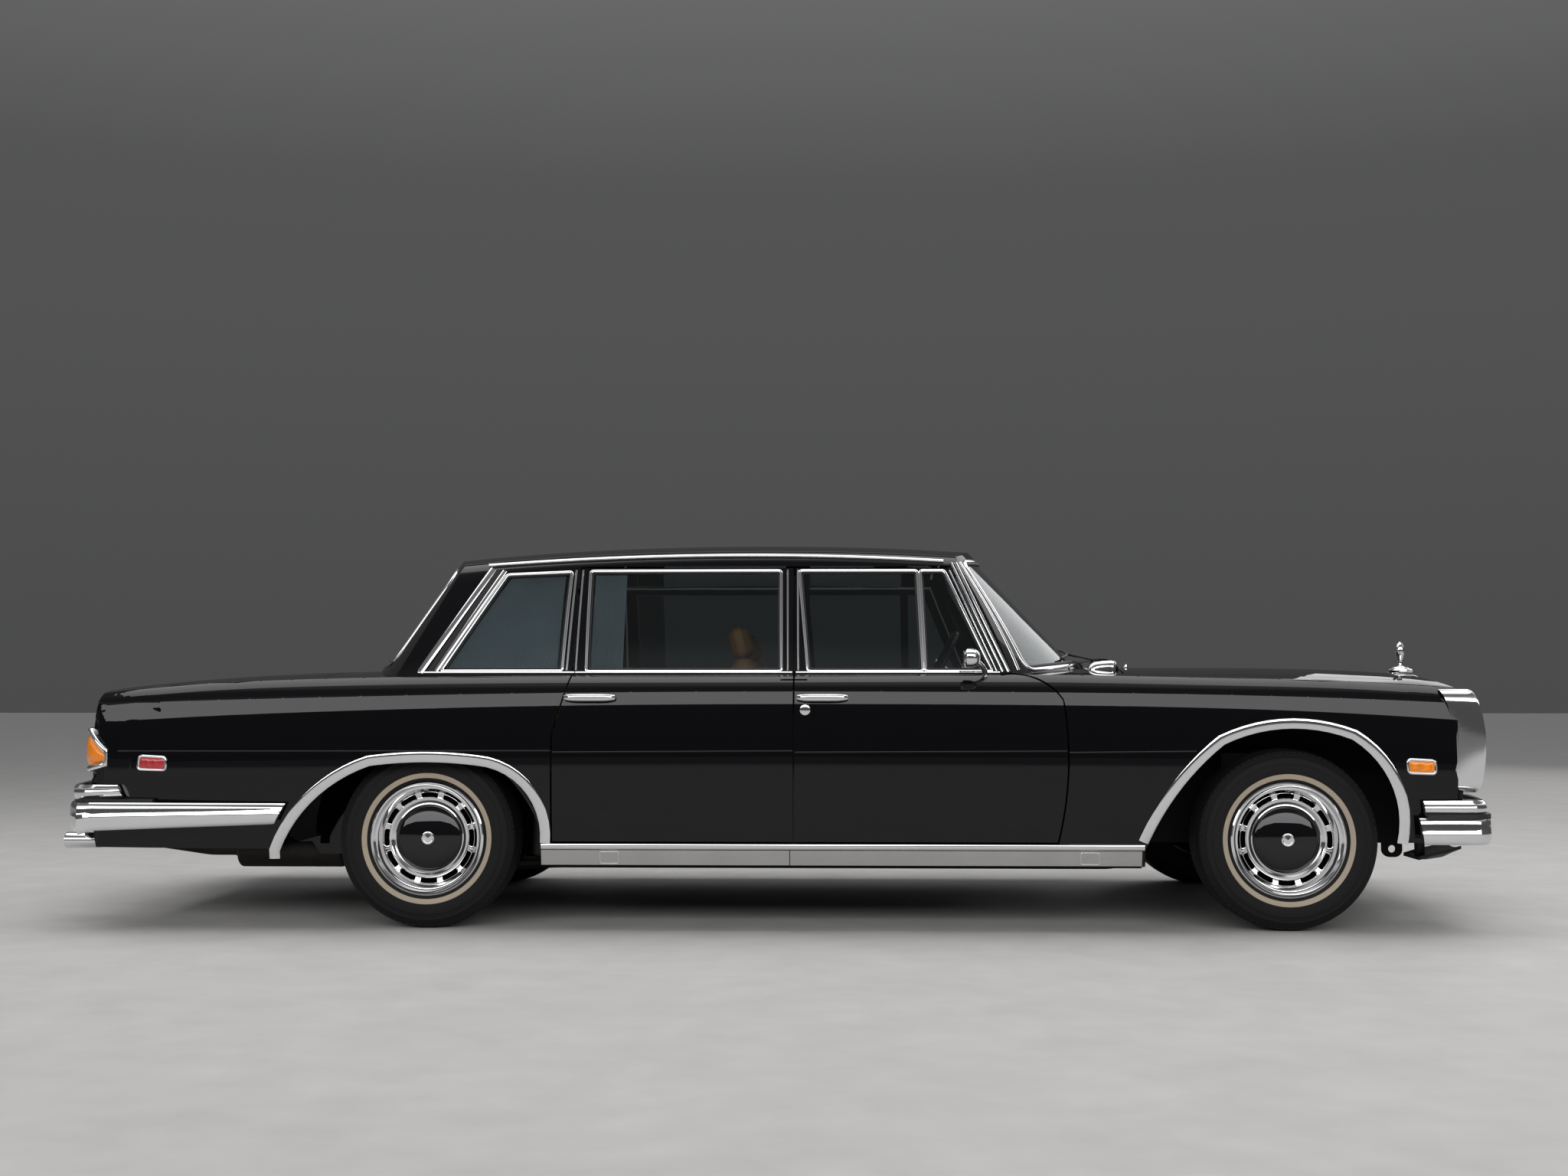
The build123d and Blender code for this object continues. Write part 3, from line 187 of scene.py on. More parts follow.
def roof_rows(x: Array) -> dict[str, Array]:
    """Named (y, z) points of the cabin's section at each x."""
    crown = spline(ROOF, x)[:, 0]
    low = np.stack([np.full_like(crown, BELT_HALF), np.full_like(crown, CABIN_FOOT)], -1)
    rail = np.stack([np.full_like(crown, RAIL_HALF), crown - RAIL_DROP], -1)
    corner = np.stack([np.full_like(crown, RAIL_HALF - CORNER_IN), crown - RAIL_DROP + CORNER_RISE], -1)
    edge = np.stack([np.full_like(crown, CROWN_HALF), crown - CROWN_DROP], -1)
    middle = np.stack([np.zeros_like(crown), crown], -1)
    return {"low": low, "rail": rail, "corner": corner, "edge": edge, "middle": middle,
            "side": (low + rail) / 2 + CABIN_BULGE, "far": edge * np.array([-1, 1])}


def picked(rows: Callable[[Array], dict[str, Array]], *names: str) -> Callable:
    """Three named points of a section, for arc_field."""
    return lambda x: [rows(x)[name] for name in names]


def screen_field(column: int, facing: int) -> Field:
    """Distance field of the windscreen or the rear window.

    Args:
        column: the first of the two columns of SCREENS.
        facing: 1 for the windscreen, -1 for the rear window.

    Returns:
        The distance field, positive outside.
    """
    def field(p: Array) -> Array:
        """Distance of each point from the arc at its height."""
        share = (p[:, 2] - SCREENS[0, 0]) / (SCREENS[1, 0] - SCREENS[0, 0])
        x = SCREENS[0, column] + share * (SCREENS[1, column] - SCREENS[0, column])
        rise = SCREENS[0, column + 1] + share * (SCREENS[1, column + 1] - SCREENS[0, column + 1])
        radius = (SCREEN_Y ** 2 + rise ** 2) / (2 * rise)
        return np.hypot(p[:, 0] - (x - facing * radius), p[:, 1]) - radius
    return field


def bar_field(p: Pair, q: Pair, r: Pair, axes: tuple[int, int] = (0, 2)) -> Field:
    """Distance field of an arc drawn straight through, such as the roof's front edge."""
    centre, radius = circle(*(np.array([point]) for point in (p, q, r)))

    def field(points: Array) -> Array:
        """Distance of each point from the drawn arc."""
        flat = np.abs(points[:, axes]) if axes == (0, 1) and centre[0, 0] > 0 else points[:, axes]
        return np.hypot(*(flat - centre).T) - radius
    return field


FIELDS: dict[str, Field] = {
    "side": arc_field(picked(body_rows, "low", "widest", "shoulder")),
    "shoulder": arc_field(picked(body_rows, "shoulder", "bulge", "top")),
    "deck": arc_field(picked(body_rows, "top", "middle", "far")),
    "cabin": arc_field(picked(roof_rows, "low", "side", "rail")),
    "rail": arc_field(picked(roof_rows, "rail", "corner", "edge")),
    "roof": arc_field(picked(roof_rows, "edge", "middle", "far")),
    "windscreen": screen_field(1, 1),
    "rear_screen": screen_field(3, -1),
    "header": bar_field((0.866, 1.376), (0.812, 1.428), (0.740, 1.463)),
    "rear_header": bar_field((-1.240, 1.435), (-1.312, 1.408), (-1.362, 1.340)),
    "tail": bar_field((-2.540, 0.298), (-2.574, 0.620), (-2.516, 0.930)),
    "nose": bar_field((2.536, 0.930), (2.566, 0.640), (2.516, 0.330)),
}
NAMES = list(FIELDS)


def outward(field: Field, points: Array) -> tuple[Array, Array]:
    """Unit normals of a field at points, and the field's steepness there."""
    slope = np.empty_like(points)
    for axis in range(3):
        ahead, behind = points.copy(), points.copy()
        ahead[:, axis] += STEP
        behind[:, axis] -= STEP
        slope[:, axis] = (field(ahead) - field(behind)) / (2 * STEP)
    steep = np.linalg.norm(slope, axis=1, keepdims=True)
    return slope / steep, steep[:, 0]


def settled(field: Field, points: Array, lift: Array | float) -> Array:
    """Points moved along the field's normals until they lie lift above its surface."""
    points = points.copy()
    for _ in range(SETTLE_ROUNDS):
        normal, steep = outward(field, points)
        points -= normal * (field(points) / steep - lift)[:, None]
    return points


# Meshes

def shape_of(mesh: bmesh.types.BMesh) -> Shape:
    """Points and faces of a bmesh, which is freed."""
    mesh.verts.index_update()
    points = np.array([v.co for v in mesh.verts], float)
    faces = [tuple(v.index for v in f.verts) for f in mesh.faces]
    mesh.free()
    return points, faces


def facets_of(source: Object) -> tuple[Array, Array]:
    """Points and triangles of a node, with its doubled points merged."""
    mesh = bmesh.new()
    mesh.from_mesh(source.data)
    bmesh.ops.remove_doubles(mesh, verts=mesh.verts, dist=MERGE)
    bmesh.ops.triangulate(mesh, faces=mesh.faces)
    points, faces = shape_of(mesh)
    return points, np.array(faces, int)


class Skin:
    """A panel's triangles, refined so that gloss paint shows the true curves of the skin."""

    FINE = 0.008
    COARSE = 0.05
    NEAR = 0.0012
    ROUND = 0.64
    THIN = 0.02
    STRAY = 0.012
    LEAST_TURN = 0.8
    TURN_WEIGHT = 20
    ROUNDS = 9
    LEAST = 1e-12

    def __init__(self, points: Array, faces: Array) -> None:
        """Sorts the triangles by the surface that each lies on, -1 for none."""
        self.points = points
        self.faces = faces
        self.lift = np.stack([FIELDS[name](points) for name in NAMES])
        edge = points[faces]
        flat = np.cross(edge[:, 1] - edge[:, 0], edge[:, 2] - edge[:, 0])
        span = np.linalg.norm(edge[:, [1, 2, 0]] - edge, axis=2).max(1)
        sliver = np.linalg.norm(flat, axis=1) < self.THIN * span ** 2
        flat /= np.linalg.norm(flat, axis=1, keepdims=True) + self.LEAST
        middle = edge.mean(1)
        best = np.full(len(faces), np.inf)
        self.kind = np.full(len(faces), -1)
        for index, name in enumerate(NAMES):
            off = np.abs(self.lift[index][faces]).max(1)
            turn = (outward(FIELDS[name], middle)[0] * flat).sum(1)
            turn[sliver] = 1.0
            cost = off / self.NEAR + self.TURN_WEIGHT * (1 - turn)
            good = (off < self.NEAR) & (turn > self.LEAST_TURN) & (cost < best)
            best[good] = cost[good]
            self.kind[good] = index

    def kinds_at(self, place: Array, count: int) -> tuple[Array, Array]:
        """Lowest and highest kind of the triangles at each of count points or edges."""
        low, high = np.full(count, len(NAMES)), np.full(count, -1)
        shown = self.kind >= 0
        for column in range(3):
            np.minimum.at(low, place[shown, column], self.kind[shown])
            np.maximum.at(high, place[shown, column], self.kind[shown])
        return low, high

    def halve(self) -> bool:
        """Halves every edge that is too long once. Returns whether there was one."""
        faces, points = self.faces, self.points
        corner = np.concatenate([faces[:, [0, 1]], faces[:, [1, 2]], faces[:, [2, 0]]])
        edges, place = np.unique(np.sort(corner, axis=1), axis=0, return_inverse=True)
        place = place.reshape(3, -1).T
        low, high = self.kinds_at(place, len(edges))
        first, last = self.kinds_at(faces, len(points))
        crease = (last >= 0) & (first != last)
        limit = np.where(crease[edges].any(1), self.FINE, self.COARSE)
        length = np.linalg.norm(points[edges[:, 0]] - points[edges[:, 1]], axis=1)
        split = (length > limit) & (high >= 0)
        if not split.any():
            return False
        new = np.full(len(edges), -1)
        new[split] = len(points) + np.arange(split.sum())
        middle = points[edges[split]].mean(1)
        lift = self.lift[:, edges[split]].mean(2)
        low, high = low[split], high[split]
        start = middle.copy()
        for _ in range(SETTLE_ROUNDS):
            for index, name in enumerate(NAMES):
                here = (low == index) | (high == index)
                if here.any():
                    middle[here] = settled(FIELDS[name], middle[here], lift[index, here])
        astray = np.linalg.norm(middle - start, axis=1) > self.STRAY
        middle[astray] = start[astray]
        self.points = np.concatenate([points, middle])
        self.lift = np.concatenate([self.lift, lift], axis=1)
        cut = new[place]
        count = (cut >= 0).sum(1)
        out, kinds = [faces[count == 0]], [self.kind[count == 0]]
        for turn in range(3):
            order = [turn, (turn + 1) % 3, (turn + 2) % 3]
            a, b, c = faces[:, order].T
            ab, bc, ca = cut[:, order].T
            one = (count == 1) & (ab >= 0)
            two = (count == 2) & (ab >= 0) & (bc >= 0)
            for pick, rows in ((one, ((a, ab, c), (ab, b, c))),
                               (two, ((ab, b, bc), (a, ab, c), (ab, bc, c)))):
                for row in rows:
                    out.append(np.stack(row, 1)[pick])
                    kinds.append(self.kind[pick])
        full = count == 3
        a, b, c = faces[full].T
        ab, bc, ca = cut[full].T
        for row in ((a, ab, ca), (ab, b, bc), (ca, bc, c), (ab, bc, ca)):
            out.append(np.stack(row, 1))
            kinds.append(self.kind[full])
        self.faces = np.concatenate(out)
        self.kind = np.concatenate(kinds)
        return True

    def refined(self) -> "Skin":
        """Halves edges until all are short enough."""
        for _ in range(self.ROUNDS):
            if not self.halve():
                break
        return self

    def normals(self, plain: Array) -> Array:
        """Normals for each corner of each triangle.

        Args:
            plain: the corners' normals from the facets alone.

        Returns:
            The same, with the true normals of the named surfaces, rounded where two of them meet.
        """
        result = plain.copy()
        true = {}
        seen = np.zeros((len(NAMES), len(self.points)), bool)
        for index, name in enumerate(NAMES):
            if (self.kind == index).any():
                used = np.unique(self.faces[self.kind == index])
                normal = np.zeros_like(self.points)
                normal[used] = outward(FIELDS[name], self.points[used])[0]
                true[index] = normal
                seen[index, used] = True
        for index, normal in true.items():
            rows = self.faces[self.kind == index]
            mixed = normal.copy()
            for other, turned in true.items():
                if other != index:
                    near = seen[other] & ((normal * turned).sum(1) > self.ROUND)
                    mixed[near] += turned[near]
            mixed /= np.linalg.norm(mixed, axis=1, keepdims=True) + self.LEAST
            result[self.kind == index] = mixed[rows]
        return result


def scene_object(name: str, data: bpy.types.ID) -> Object:
    """A new object in the scene, at the origin."""
    made = bpy.data.objects.new(name, data)
    bpy.context.scene.collection.objects.link(made)
    return made


def mesh_object(name: str, points: Array, faces: list, smooth: float = 35.0) -> Object:
    """A mesh object at the origin.

    Args:
        name: the piece's name.
        points: its points in metres.
        faces: lists of point indices.
        smooth: edges sharper than this many degrees stay sharp.

    Returns:
        The linked object.
    """
    mesh = bpy.data.meshes.new(name)
    mesh.from_pydata([tuple(p) for p in np.asarray(points, float)], [], [tuple(map(int, f)) for f in faces])
    mesh.validate()
    mesh.shade_smooth()
    mesh.set_sharp_from_angle(angle=math.radians(smooth))
    return scene_object(name, mesh)


def skin_object(name: str, points: Array, faces: Array) -> Object:
    """A panel with refined triangles and true normals."""
    skin = Skin(points, faces).refined()
    made = mesh_object(name, skin.points, skin.faces)
    mesh = made.data
    plain = np.zeros(len(mesh.loops) * 3)
    mesh.corner_normals.foreach_get("vector", plain)
    if len(mesh.polygons) == len(skin.faces):
        normals = skin.normals(plain.reshape(-1, 3, 3))
        mesh.normals_split_custom_set(normals.reshape(-1, 3).tolist())
    return made


# Finishes

def added(tree: Tree, kind: str, inputs: dict | None = None, **settings: object) -> bpy.types.Node:
    """Adds a node to a tree.

    Args:
        tree: the tree.
        kind: the node's type.
        inputs: for each input, its value or the socket that is linked to it.
        settings: the node's own settings.

    Returns:
        The node.
    """
    made = tree.nodes.new(kind)
    for name, value in settings.items():
        setattr(made, name, value)
    for name, value in (inputs or {}).items():
        if isinstance(value, bpy.types.NodeSocket):
            tree.links.new(value, made.inputs[name])
        else:
            made.inputs[name].default_value = value
    return made


class Pattern(Enum):
    """What varies over a finish."""
    PLAIN = "plain"
    GRAIN = "grain"
    BRUSHED = "brushed"
    WEAVE = "weave"
    WOOD = "wood"
    RIBS = "ribs"


# Stretch of the patterns that run one way
STRETCH = {Pattern.BRUSHED: (0.02, 1.0, 1.0), Pattern.WOOD: (1.0, 0.08, 1.0)}


@dataclass(frozen=True)
class Finish:
    """A procedural finish on Object coordinates.

    Attributes:
        name: the material's name.
        colour: its main colour, linear.
        slot: the slot that it stands for; not used.
        pattern: what varies over it.
        scale: how fine the pattern is, in turns for each metre.
        mottle: how much the colour varies.
        depth: height of the pattern's relief, in metres.
        haze: how much the roughness varies.
    """
    name: str
    colour: tuple[float, float, float]
    slot: str
    pattern: Pattern = Pattern.PLAIN
    scale: float = 60.0
    mottle: float = 0.08
    depth: float = 0.0
    haze: float = 0.03
    metallic: float = 0.0
    roughness: float = 0.4
    coat: float = 0.0
    sheen: float = 0.0
    transmission: float = 0.0
    ior: float = 1.5
    shine: float = 0.5

    def shade(self, factor: float) -> tuple[float, ...]:
        """The main colour made darker or lighter, with its alpha."""
        return *(min(1.0, c * factor) for c in self.colour), 1

    def texture(self, tree: Tree, place: bpy.types.NodeSocket) -> bpy.types.NodeSocket:
        """Adds the pattern's own texture and returns its value."""
        if self.pattern in (Pattern.WEAVE, Pattern.RIBS):
            ways = "Y" if self.pattern is Pattern.RIBS else "XZ"
            waves = [added(tree, "ShaderNodeTexWave", {"Scale": self.scale, "Vector": place},
                           bands_direction=way).outputs["Fac"] for way in ways]
            if len(waves) == 1:
                return waves[0]
            return added(tree, "ShaderNodeMath", dict(enumerate(waves)), operation="MULTIPLY").outputs["Value"]
        if self.pattern is Pattern.GRAIN:
            cells = added(tree, "ShaderNodeTexVoronoi", {"Scale": self.scale, "Vector": place})
            return cells.outputs["Distance"]
        if self.pattern in STRETCH:
            place = added(tree, "ShaderNodeMapping",
                          {"Scale": STRETCH[self.pattern], "Vector": place}).outputs["Vector"]
        noise = added(tree, "ShaderNodeTexNoise", {"Scale": self.scale, "Detail": 6.0, "Vector": place})
        if self.pattern is Pattern.WOOD:
            noise.inputs["Distortion"].default_value = 1.5
        return noise.outputs["Fac"]

    def let_light_through(self, tree: Tree, shader: bpy.types.ShaderNode) -> None:
        """Lets the lamps shine through glass, tinted, so that what is behind it is lit."""
        path = added(tree, "ShaderNodeLightPath")
        clear = added(tree, "ShaderNodeBsdfTransparent", {"Color": (*(math.sqrt(c) for c in self.colour), 1)})
        mix = added(tree, "ShaderNodeMixShader", {0: path.outputs["Is Shadow Ray"], 1: shader.outputs["BSDF"],
                                                  2: clear.outputs["BSDF"]})
        tree.links.new(mix.outputs["Shader"], tree.nodes["Material Output"].inputs["Surface"])

    def build(self) -> bpy.types.Material:
        """Makes the material."""
        material = bpy.data.materials.new(self.name)
        material.use_nodes = True
        tree = material.node_tree
        link = tree.links.new
        shader = next(node for node in tree.nodes if node.type == "BSDF_PRINCIPLED")
        values = {"Metallic": self.metallic, "Coat Weight": self.coat, "Coat Roughness": 0.015,
                  "Sheen Weight": self.sheen, "Transmission Weight": self.transmission, "IOR": self.ior,
                  "Specular IOR Level": self.shine, "Roughness": self.roughness}
        for key, value in values.items():
            shader.inputs[key].default_value = value
        place = added(tree, "ShaderNodeTexCoord").outputs["Object"]
        fine = self.texture(tree, place)
        cloud = added(tree, "ShaderNodeTexNoise", {"Scale": 7.0, "Detail": 4.0, "Vector": place})
        blend = added(tree, "ShaderNodeMix", {"Factor": 0.5, "A": fine, "B": cloud.outputs["Fac"]},
                      data_type="FLOAT")
        ramp = added(tree, "ShaderNodeValToRGB", {"Fac": blend.outputs["Result"]})
        low, high = ramp.color_ramp.elements
        low.position, high.position = 0.3, 0.7
        low.color, high.color = self.shade(1 - self.mottle), self.shade(1 + self.mottle)
        link(ramp.outputs["Color"], shader.inputs["Base Color"])
        if self.depth:
            bump = added(tree, "ShaderNodeBump", {"Distance": self.depth, "Height": fine})
            link(bump.outputs["Normal"], shader.inputs["Normal"])
        if self.transmission:
            self.let_light_through(tree, shader)
            return material
        span = added(tree, "ShaderNodeMapRange", {
            "To Min": max(0.0, self.roughness - self.haze), "To Max": self.roughness + self.haze,
            "Value": blend.outputs["Result"]})
        link(span.outputs["Result"], shader.inputs["Roughness"])
        return material


FINISHES = {finish.name: finish for finish in (
    Finish("black_paint", (0.0026, 0.0026, 0.0034), "body_paint", coat=0.7, roughness=0.3, haze=0.04, shine=0.0),
    Finish("chrome_plate", (0.80, 0.80, 0.81), "chrome", metallic=1.0, roughness=0.06, haze=0.025, mottle=0.02),
    Finish("brushed_sill", (0.50, 0.49, 0.48), "chrome", Pattern.BRUSHED, 900, metallic=1.0, roughness=0.3,
           depth=0.00008, haze=0.08),
    Finish("tinted_glass", (0.32, 0.37, 0.38), "window_glass", roughness=0.0, mottle=0.01,
           transmission=1.0, ior=1.45),
    Finish("lamp_glass", (0.93, 0.94, 0.94), "clear_lens", Pattern.RIBS, 70, roughness=0.0, mottle=0.01,
           depth=0.0008, transmission=1.0, ior=1.45),
    Finish("red_glass", (0.42, 0.022, 0.03), "red_lens", Pattern.RIBS, 110, roughness=0.2, depth=0.0006,
           coat=0.6, mottle=0.15),
    Finish("amber_glass", (0.92, 0.25, 0.003), "amber_lens", Pattern.RIBS, 110, roughness=0.2, depth=0.0006,
           coat=0.6, mottle=0.15),
    Finish("rubber", (0.007, 0.007, 0.0075), "tyre", scale=420, roughness=0.66, depth=0.0003, haze=0.1,
           mottle=0.2, shine=0.2),
    Finish("whitewall", (0.37, 0.31, 0.235), "tyre", scale=260, roughness=0.6, depth=0.0002, haze=0.08),
    # Matt black without any gloss: painted shade for the hollow seen through the wheel's slots.
    Finish("slot_painted_shade", (0.002, 0.002, 0.002), "wheel_finish", roughness=0.9, shine=0.0),
    Finish("hub_lacquer", (0.003, 0.003, 0.004), "wheel_finish", coat=1.0, roughness=0.3, shine=0.0),
    Finish("tan_leather", (0.42, 0.19, 0.075), "leather", Pattern.GRAIN, 420, roughness=0.46, depth=0.0004,
           haze=0.08, mottle=0.14),
    Finish("dash_leather", (0.022, 0.02, 0.019), "dash_trim", Pattern.GRAIN, 520, roughness=0.5, depth=0.0004),
    Finish("walnut", (0.16, 0.055, 0.018), "dash_trim", Pattern.WOOD, 38, roughness=0.24, coat=0.8, mottle=0.55),
    Finish("wheel_rim_black", (0.014, 0.014, 0.015), "black_rim", roughness=0.3, coat=0.3),
    Finish("underseal", (0.008, 0.008, 0.0085), "underbody", scale=180, roughness=0.75, depth=0.0012,
           haze=0.12, mottle=0.3, shine=0.2),
    Finish("chassis_black", (0.035, 0.036, 0.038), "chassis_metal", scale=90, roughness=0.5, depth=0.0006,
           haze=0.12, mottle=0.25, metallic=0.4),
    Finish("engine_alloy", (0.32, 0.32, 0.33), "engine_metal", scale=120, roughness=0.48, depth=0.0008,
           haze=0.1, mottle=0.25, metallic=0.85),
    Finish("exhaust_steel", (0.035, 0.03, 0.026), "exhaust_steel", scale=24, roughness=0.55, haze=0.14,
           mottle=0.4, metallic=0.7),
    Finish("wiper_black", (0.012, 0.012, 0.012), "wiper_black", roughness=0.5),
    Finish("seal_rubber", (0.01, 0.01, 0.01), "wiper_black", scale=240, roughness=0.55, depth=0.0002),
    Finish("carpet", (0.05, 0.035, 0.026), "leather", scale=700, roughness=0.95, depth=0.003, sheen=0.4,
           mottle=0.35),
    Finish("headlining", (0.15, 0.14, 0.125), "leather", Pattern.WEAVE, 260, roughness=0.9, depth=0.0006,
           sheen=0.2),
    Finish("curtain_cloth", (0.58, 0.59, 0.62), "leather", Pattern.WEAVE, 420, roughness=0.9, depth=0.0006,
           sheen=0.4, mottle=0.2),
    Finish("vent_mesh", (0.02, 0.02, 0.02), "wiper_black", Pattern.WEAVE, 60, roughness=0.5, depth=0.003,
           mottle=0.6, metallic=0.3),
)}
MATERIALS = {name: finish.build() for name, finish in FINISHES.items()}


def dressed(piece: Object, finish: str, body: str = "body",
            replaces: tuple[str, ...] = ()) -> Object:
    """Gives a piece its finish and body, and hides the nodes that it stands for."""
    piece.data.materials.clear()
    piece.data.materials.append(MATERIALS[finish])
    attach(piece, body)
    if replaces:
        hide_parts(*replaces)
    LOG.info("%s: %d faces on %s", piece.name, len(piece.data.polygons), body)
    return piece


# Geometry Nodes

def repeat_tree() -> Tree:
    """A tree that copies a piece: each copy is moved by Step and turned by Turn about Centre."""
    tree = bpy.data.node_groups.new("Repeat", "GeometryNodeTree")
    sockets = (("Geometry", "Geometry"), ("Count", "Int"), ("Step", "Vector"), ("Turn", "Vector"),
               ("Centre", "Vector"), ("Material", "Material"))
    for name, kind in sockets:
        tree.interface.new_socket(name, in_out="INPUT", socket_type="NodeSocket" + kind)
    tree.interface.new_socket("Geometry", in_out="OUTPUT", socket_type="NodeSocketGeometry")
    given = added(tree, "NodeGroupInput").outputs
    index = added(tree, "GeometryNodeInputIndex").outputs[0]
    shift, spin = (added(tree, "ShaderNodeVectorMath", {0: given[name], "Scale": index},
                         operation="SCALE").outputs[0] for name in ("Step", "Turn"))
    angle = added(tree, "FunctionNodeEulerToRotation", {0: spin})
    points = added(tree, "GeometryNodePoints", {"Count": given["Count"]})
    place = added(tree, "GeometryNodeInstanceOnPoints",
                  {"Points": points.outputs[0], "Instance": given["Geometry"]})
    move = added(tree, "GeometryNodeTranslateInstances",
                 {"Instances": place.outputs[0], "Translation": shift, "Local Space": False})
    turn = added(tree, "GeometryNodeRotateInstances", {
        "Instances": move.outputs[0], "Rotation": angle.outputs[0], "Pivot Point": given["Centre"],
        "Local Space": False})
    real = added(tree, "GeometryNodeRealizeInstances", {0: turn.outputs[0]})
    paint = added(tree, "GeometryNodeSetMaterial", {"Geometry": real.outputs[0], "Material": given["Material"]})
    added(tree, "NodeGroupOutput", {0: paint.outputs[0]})
    return tree


def smoothing_tree(angle: float = 30.0) -> Tree:
    """A tree that joins a CAD node's loose facets and rounds their shading."""
    tree = bpy.data.node_groups.new("Smooth facets", "GeometryNodeTree")
    for way in ("INPUT", "OUTPUT"):
        tree.interface.new_socket("Geometry", in_out=way, socket_type="NodeSocketGeometry")
    given = added(tree, "NodeGroupInput")
    merge = added(tree, "GeometryNodeMergeByDistance", {"Geometry": given.outputs[0], "Distance": MERGE})
    fold = added(tree, "GeometryNodeInputMeshEdgeAngle").outputs["Unsigned Angle"]
    flat = added(tree, "FunctionNodeCompare", {"A": fold, "B": math.radians(angle)}, operation="LESS_THAN")
    faces = added(tree, "GeometryNodeSetShadeSmooth", {"Geometry": merge.outputs[0]})
    edges = added(tree, "GeometryNodeSetShadeSmooth",
                  {"Geometry": faces.outputs[0], "Shade Smooth": flat.outputs[0]}, domain="EDGE")
    added(tree, "NodeGroupOutput", {0: edges.outputs[0]})
    return tree


REPEAT = repeat_tree()
SMOOTHING = smoothing_tree()


def repeated(piece: Object, finish: str, count: int, step: Triple = (0, 0, 0), turn: Triple = (0, 0, 0),
             centre: Triple = (0, 0, 0)) -> Object:
    """Copies a piece in a row or round a centre by Geometry Nodes, as one plain mesh.

    Args:
        piece: the first copy.
        finish: name of its finish.
        count: how many copies, the first one included.
        step: move from one copy to the next.
        turn: turn from one copy to the next, in radians about each axis.
        centre: the turn's centre.

    Returns:
        The same object with all copies in its mesh.
    """
    modifier = piece.modifiers.new("Repeat", "NODES")
    modifier.node_group = REPEAT
    values = {"Count": count, "Step": step, "Turn": turn, "Centre": centre, "Material": MATERIALS[finish]}
    for item in REPEAT.interface.items_tree:
        if item.name in values and item.in_out == "INPUT":
            modifier[item.identifier] = values[item.name]
    view = bpy.context.evaluated_depsgraph_get()
    whole = bpy.data.meshes.new_from_object(piece.evaluated_get(view))
    piece.modifiers.clear()
    piece.data = whole
    return piece


def keep(node: str, finish: str) -> None:
    """Gives a CAD node that stays its finish, and rounds the shading of its facets."""
    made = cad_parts[node]
    made.data.materials.clear()
    made.data.materials.append(MATERIALS[finish])
    modifier = made.modifiers.new("Smooth facets", "NODES")
    modifier.node_group = SMOOTHING


# Shape tools

def closed_mesh(name: str, points: Array, faces: list, smooth: float = 35.0) -> Object:
    """A closed shell at the origin with its doubles merged and its faces turned outwards."""
    made = mesh_object(name, points, faces, smooth)
    mesh = bmesh.new()
    mesh.from_mesh(made.data)
    bmesh.ops.remove_doubles(mesh, verts=mesh.verts, dist=WELD)
    bmesh.ops.recalc_face_normals(mesh, faces=mesh.faces)
    mesh.to_mesh(made.data)
    mesh.free()
    made.data.shade_smooth()
    made.data.set_sharp_from_angle(angle=math.radians(smooth))
    return made


def piece(name: str, shape: Shape, finish: str, body: str = "body", smooth: float = 35.0,
          replaces: str = "") -> Object:
    """Makes a closed piece and dresses it."""
    return dressed(closed_mesh(name, *shape, smooth), finish, body, (replaces,) if replaces else ())


def mirrored(shape: Shape, sign: int) -> Shape:
    """The shape itself where sign is 1, and its mirror image across the car where it is -1."""
    points, faces = shape
    return points * (1, sign, 1), faces


def sided(name: str, shape: Shape, finish: str, body: str = "body", smooth: float = 35.0, replaces: str = "",
          drawn: int = -1) -> None:
    """Makes a piece on both sides of the car.

    Args:
        name: the pieces' name without their side.
        shape: the shape on the side where it is drawn.
        finish: their finish.
        body: the body that they ride on, without its side where that has one.
        smooth: edges sharper than this many degrees stay sharp.
        replaces: the node that they stand for, with {} where it names its side.
        drawn: 1 for a shape drawn on the left, -1 for one drawn on the right.
    """
    for label, side in SIDES:
        home = body if body == "body" else f"{body}_{label}"
        piece(f"{name}_{label}", mirrored(shape, side * drawn), finish, home, smooth, replaces.format(label))


def arc(p: Pair, q: Pair, r: Pair, count: int = 12) -> Array:
    """Points on the circle through three points in a plane, from p to r by way of q."""
    p, q, r = (np.array(point, float) for point in (p, q, r))
    centre, radius = circle(p, q, r)
    start, middle, end = (math.atan2(*(point - centre)[::-1]) for point in (p, q, r))
    turn = (end - start) % math.tau
    if (middle - start) % math.tau > turn:
        turn -= math.tau
    angle = start + turn * np.linspace(0, 1, count)
    return centre + radius * np.stack([np.cos(angle), np.sin(angle)], -1)


def curve(p: Array, q: Array, r: Array, share: Array) -> Array:
    """Points of the quadratic curve from p to r that q pulls, one for each row of share."""
    return (1 - share) ** 2 * p + 2 * share * (1 - share) * q + share ** 2 * r


def ellipse(count: int, wide: float, high: float) -> Array:
    """Points of an ellipse, as (across, up) points."""
    angle = np.arange(count) * math.tau / count
    return np.stack([np.cos(angle) * wide, np.sin(angle) * high], -1)


def joined(*runs: Array) -> Array:
    """One path of several runs, without the points that two of them share."""
    path = [np.asarray(runs[0], float)]
    for run in runs[1:]:
        run = np.asarray(run, float)
        same = np.linalg.norm(run[0] - path[-1][-1]) < 1e-6
        path.append(run[1:] if same else run)
    return np.concatenate(path)


